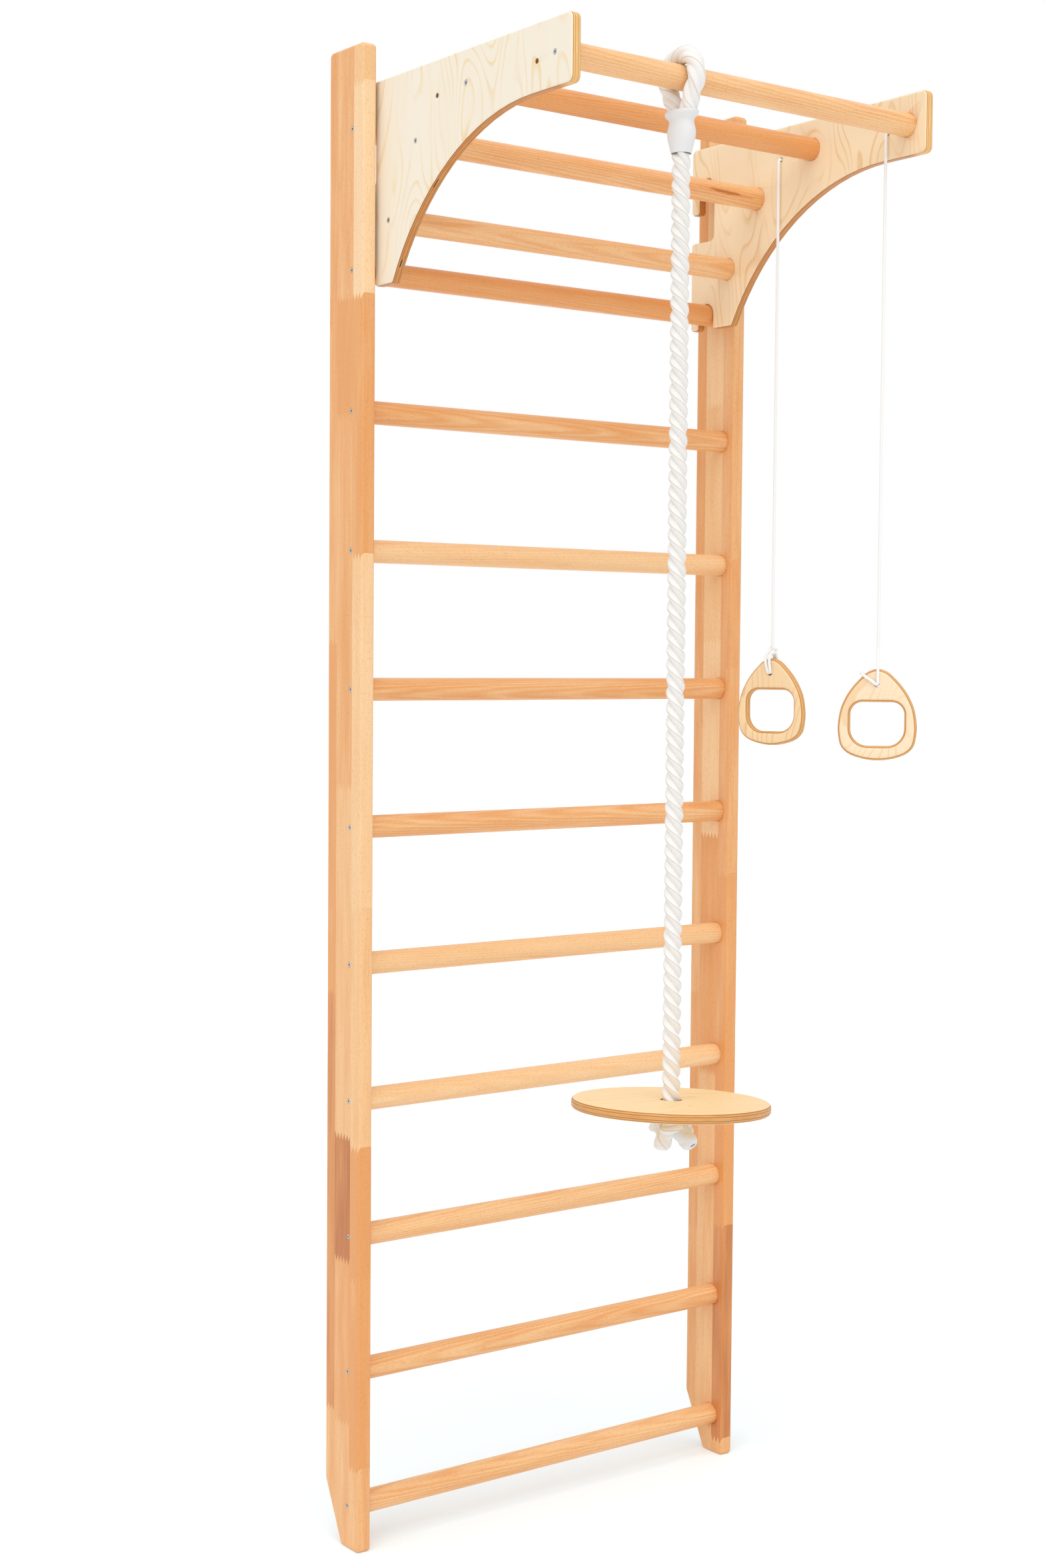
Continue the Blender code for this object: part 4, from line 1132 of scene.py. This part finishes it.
# Routes in the ring's own frame, from its top: across, deep, up; -1 and 1 in depth lie on its two faces
HOLE_UP = -RING_HOLE_DROP
RING_ROUTES = {
    "front": {
        "front_ring_strand": (
            (0.0, 0.0, CORD_ENDS["front"]), (0.0, -0.55, 0.018), (0.001, -1.0, 0.004), (0.001, -1.0, -0.010),
            (0.001, -0.95, HOLE_UP + 0.002), (0.0, -0.45, HOLE_UP), (0.0, 0.3, HOLE_UP),
        ),
        "front_ring_loop_cord": (
            (-0.001, 0.3, HOLE_UP - 0.001), (-0.001, -0.5, HOLE_UP - 0.001),
            (-0.003, -1.02, HOLE_UP + 0.001), (-0.011, -1.08, HOLE_UP + 0.007),
            (-0.020, -1.05, -0.0118), (-0.0255, -0.62, -0.0075), (-0.0265, 0.0, -0.0068),
            (-0.0245, 0.65, -0.0085), (-0.017, 1.05, -0.015),
            (-0.004, 1.05, HOLE_UP + 0.004), (0.0, 0.7, HOLE_UP),
        ),
    },
    "rear": {
        "rear_ring_strand": (
            (-0.0022, 0.0, 0.012), (-0.006, -0.75, 0.008), (-0.007, -1.05, -0.004), (-0.0045, -1.08, -0.015),
            (-0.0022, -0.95, HOLE_UP + 0.001), (-0.0012, -0.4, HOLE_UP), (-0.001, 0.4, HOLE_UP),
            (-0.001, 1.0, HOLE_UP + 0.004), (-0.002, 1.05, -0.010), (-0.001, 0.6, 0.008),
        ),
        "rear_ring_loop_cord": (
            (0.003, 0.0, 0.012), (0.001, -0.75, 0.007), (0.0005, -1.10, -0.005), (0.0018, -1.12, -0.015),
            (0.0022, -0.95, HOLE_UP + 0.0015), (0.0014, -0.4, HOLE_UP + 0.001), (0.001, 0.4, HOLE_UP),
            (0.003, 1.0, HOLE_UP + 0.005), (0.004, 1.05, -0.010), (0.003, 0.6, 0.008),
        ),
    },
}
REAR_KNOT = Matrix.Translation((0.001, -0.001, 0.0135)) @ Matrix.Rotation(math.pi / 2, 4, "X")
beside = RING_THICKNESS / 2 + CORD_RADIUS + CORD_CLEARANCE
cheek_low, cheek_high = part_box("right_cheek")
outer = cheek_high.x + STOPPER_OFF
for which, place in ring_places.items():
    body = which + "_cord"
    ring_body = which + "_ring"
    top = place.translation
    exit_spot = Vector((cheek_low.x, top.y, CORD_HOLE_Z))
    bend = [exit_spot, (top.x + 0.0012, top.y, CORD_HOLE_Z - 0.0012), (top.x, top.y, CORD_HOLE_Z - 0.006)]
    bend += [(top.x, top.y, CORD_HOLE_Z - 0.03), (top.x, top.y, CORD_HOLE_Z - 0.10)]
    line = evenly(through(bend, CORD_BEND_STEPS), CORD_STEP)
    line += evenly([line[-1], top + Vector((0.0, 0.0, CORD_ENDS[which]))], CORD_LONG_STEP)[1:]
    cord = sweep(which + "_cord_braided", line, cord_reach, CORD_SIDES)
    dress(cord, cord_material, body, "white_cord", which + "_ring_cord")
    stopper = Matrix.Translation((outer, top.y, CORD_HOLE_Z)) @ Matrix.Rotation(math.pi / 2, 4, "Y")
    tie(which + "_cord_stopper", stopper, body)
    tail = [exit_spot, (cheek_high.x, top.y, CORD_HOLE_Z), (outer, top.y, CORD_HOLE_Z)]
    tail += [(outer + 0.007, top.y, CORD_HOLE_Z - 0.004), (outer + 0.008, top.y, CORD_HOLE_Z - 0.022)]
    strand(which + "_cord_tail", tail, body)
    if which == "rear":
        tie("rear_ring_knot", place @ REAR_KNOT, ring_body)
    for name, route in RING_ROUTES[which].items():
        loop = strand(name, [place @ Vector((x, deep * beside, z)) for x, deep, z in route], ring_body)
    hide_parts(which + "_ring_loop")
    sum((second - first).length for first, second in zip(line, line[1:]))


# Studio: a pale paper floor that keeps the soft shadow, a white room, and one broad light from the upper
# front left. The paper is seen a touch cool, which evens out the warm light that the wood throws on it.
FLOOR_WHITE = (0.96, 0.96, 0.96)
FLOOR_SEEN = (0.88, 0.955, 0.985)
FLOOR_ROUGHNESS = 0.9
FLOOR_GLOW = 0.16
GLOW_SEEN = (0.86, 0.95, 1.0)
NO_GLOW = (0.0, 0.0, 0.0)
FLOOR_REACH = 60.0
ROOM_WHITE = (1.0, 1.0, 1.0, 1.0)
ROOM_LIGHT = 0.63
KEY_AIM = Vector((0.42, 0.50, -1.0))
KEY_SPREAD = math.radians(80)
KEY_STRENGTH = 1.55


def background_ray(tree):
    """1 for a ray that shows the background, straight or in metal and glass, and 0 for one that lights."""
    path = tree.nodes.new("ShaderNodeLightPath")
    kinds = ("Is Camera Ray", "Is Glossy Ray", "Is Transmission Ray")
    straight, mirrored, refracted = [Wire(tree, path.outputs[kind]) for kind in kinds]
    return (straight + mirrored + refracted).math("MINIMUM", 1.0)


floor_mesh = bpy.data.meshes.new("studio_floor")
corners = [(x * FLOOR_REACH, y * FLOOR_REACH, 0.0) for x, y in ((-1, -1), (1, -1), (1, 1), (-1, 1))]
floor_mesh.from_pydata(corners, [], [(0, 1, 2, 3)])
floor = bpy.data.objects.new("studio_floor", floor_mesh)
bpy.context.scene.collection.objects.link(floor)
floor_material, floor_inputs, _ = new_finish("floor_paper", FLOOR_ROUGHNESS)
seen = background_ray(floor_material.node_tree)
seen.pick(FLOOR_WHITE, FLOOR_SEEN).into(floor_inputs["Base Color"])
seen.pick(NO_GLOW, GLOW_SEEN).into(floor_inputs["Emission Color"])
floor_inputs["Emission Strength"].default_value = FLOOR_GLOW
floor_mesh.materials.append(floor_material)
floor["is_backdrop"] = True

world = bpy.data.worlds.new("white_room")
bpy.context.scene.world = world
world.use_nodes = True
room = world.node_tree
backdrop = room.nodes["Background"]
backdrop.inputs["Color"].default_value = ROOM_WHITE
room_strength = background_ray(room) * (1.0 - ROOM_LIGHT) + ROOM_LIGHT
room_strength.into(backdrop.inputs["Strength"])

key = bpy.data.lights.new("key_light", "SUN")
key.angle = KEY_SPREAD
key.energy = KEY_STRENGTH
key_item = bpy.data.objects.new("key_light", key)
key_item.rotation_mode = "QUATERNION"
key_item.rotation_quaternion = KEY_AIM.to_track_quat("-Z", "Y")
bpy.context.scene.collection.objects.link(key_item)


# Camera: the photograph's own view, from the front left and a little above half the object's height.
# Its place, turn and lens come from a fit to the edges of the uprights and to the rungs.
CAMERA_PLACE = Vector((-2.3049, -2.77625, 1.4436))
CAMERA_RIGHT = Vector((0.8012, -0.5983, 0.0080))
CAMERA_UP = Vector((0.0227, 0.0437, 0.9988))
CAMERA_LENS = 51.85
CAMERA_SHIFT = (-0.0126, -0.0108)
camera = bpy.data.cameras.new("photo_camera")
camera.lens = CAMERA_LENS
camera.shift_x, camera.shift_y = CAMERA_SHIFT
camera_item = bpy.data.objects.new("photo_camera", camera)
camera_turn = Matrix((CAMERA_RIGHT, CAMERA_UP, CAMERA_RIGHT.cross(CAMERA_UP))).transposed()
camera_item.matrix_world = Matrix.Translation(CAMERA_PLACE) @ camera_turn.to_4x4()
bpy.context.scene.collection.objects.link(camera_item)
bpy.context.scene.camera = camera_item
bpy.context.scene.view_settings.view_transform = "Standard"

shown_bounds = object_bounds()
sizes = {"cad": [list(corner) for corner in cad_bounds], "visual": [list(corner) for corner in shown_bounds]}
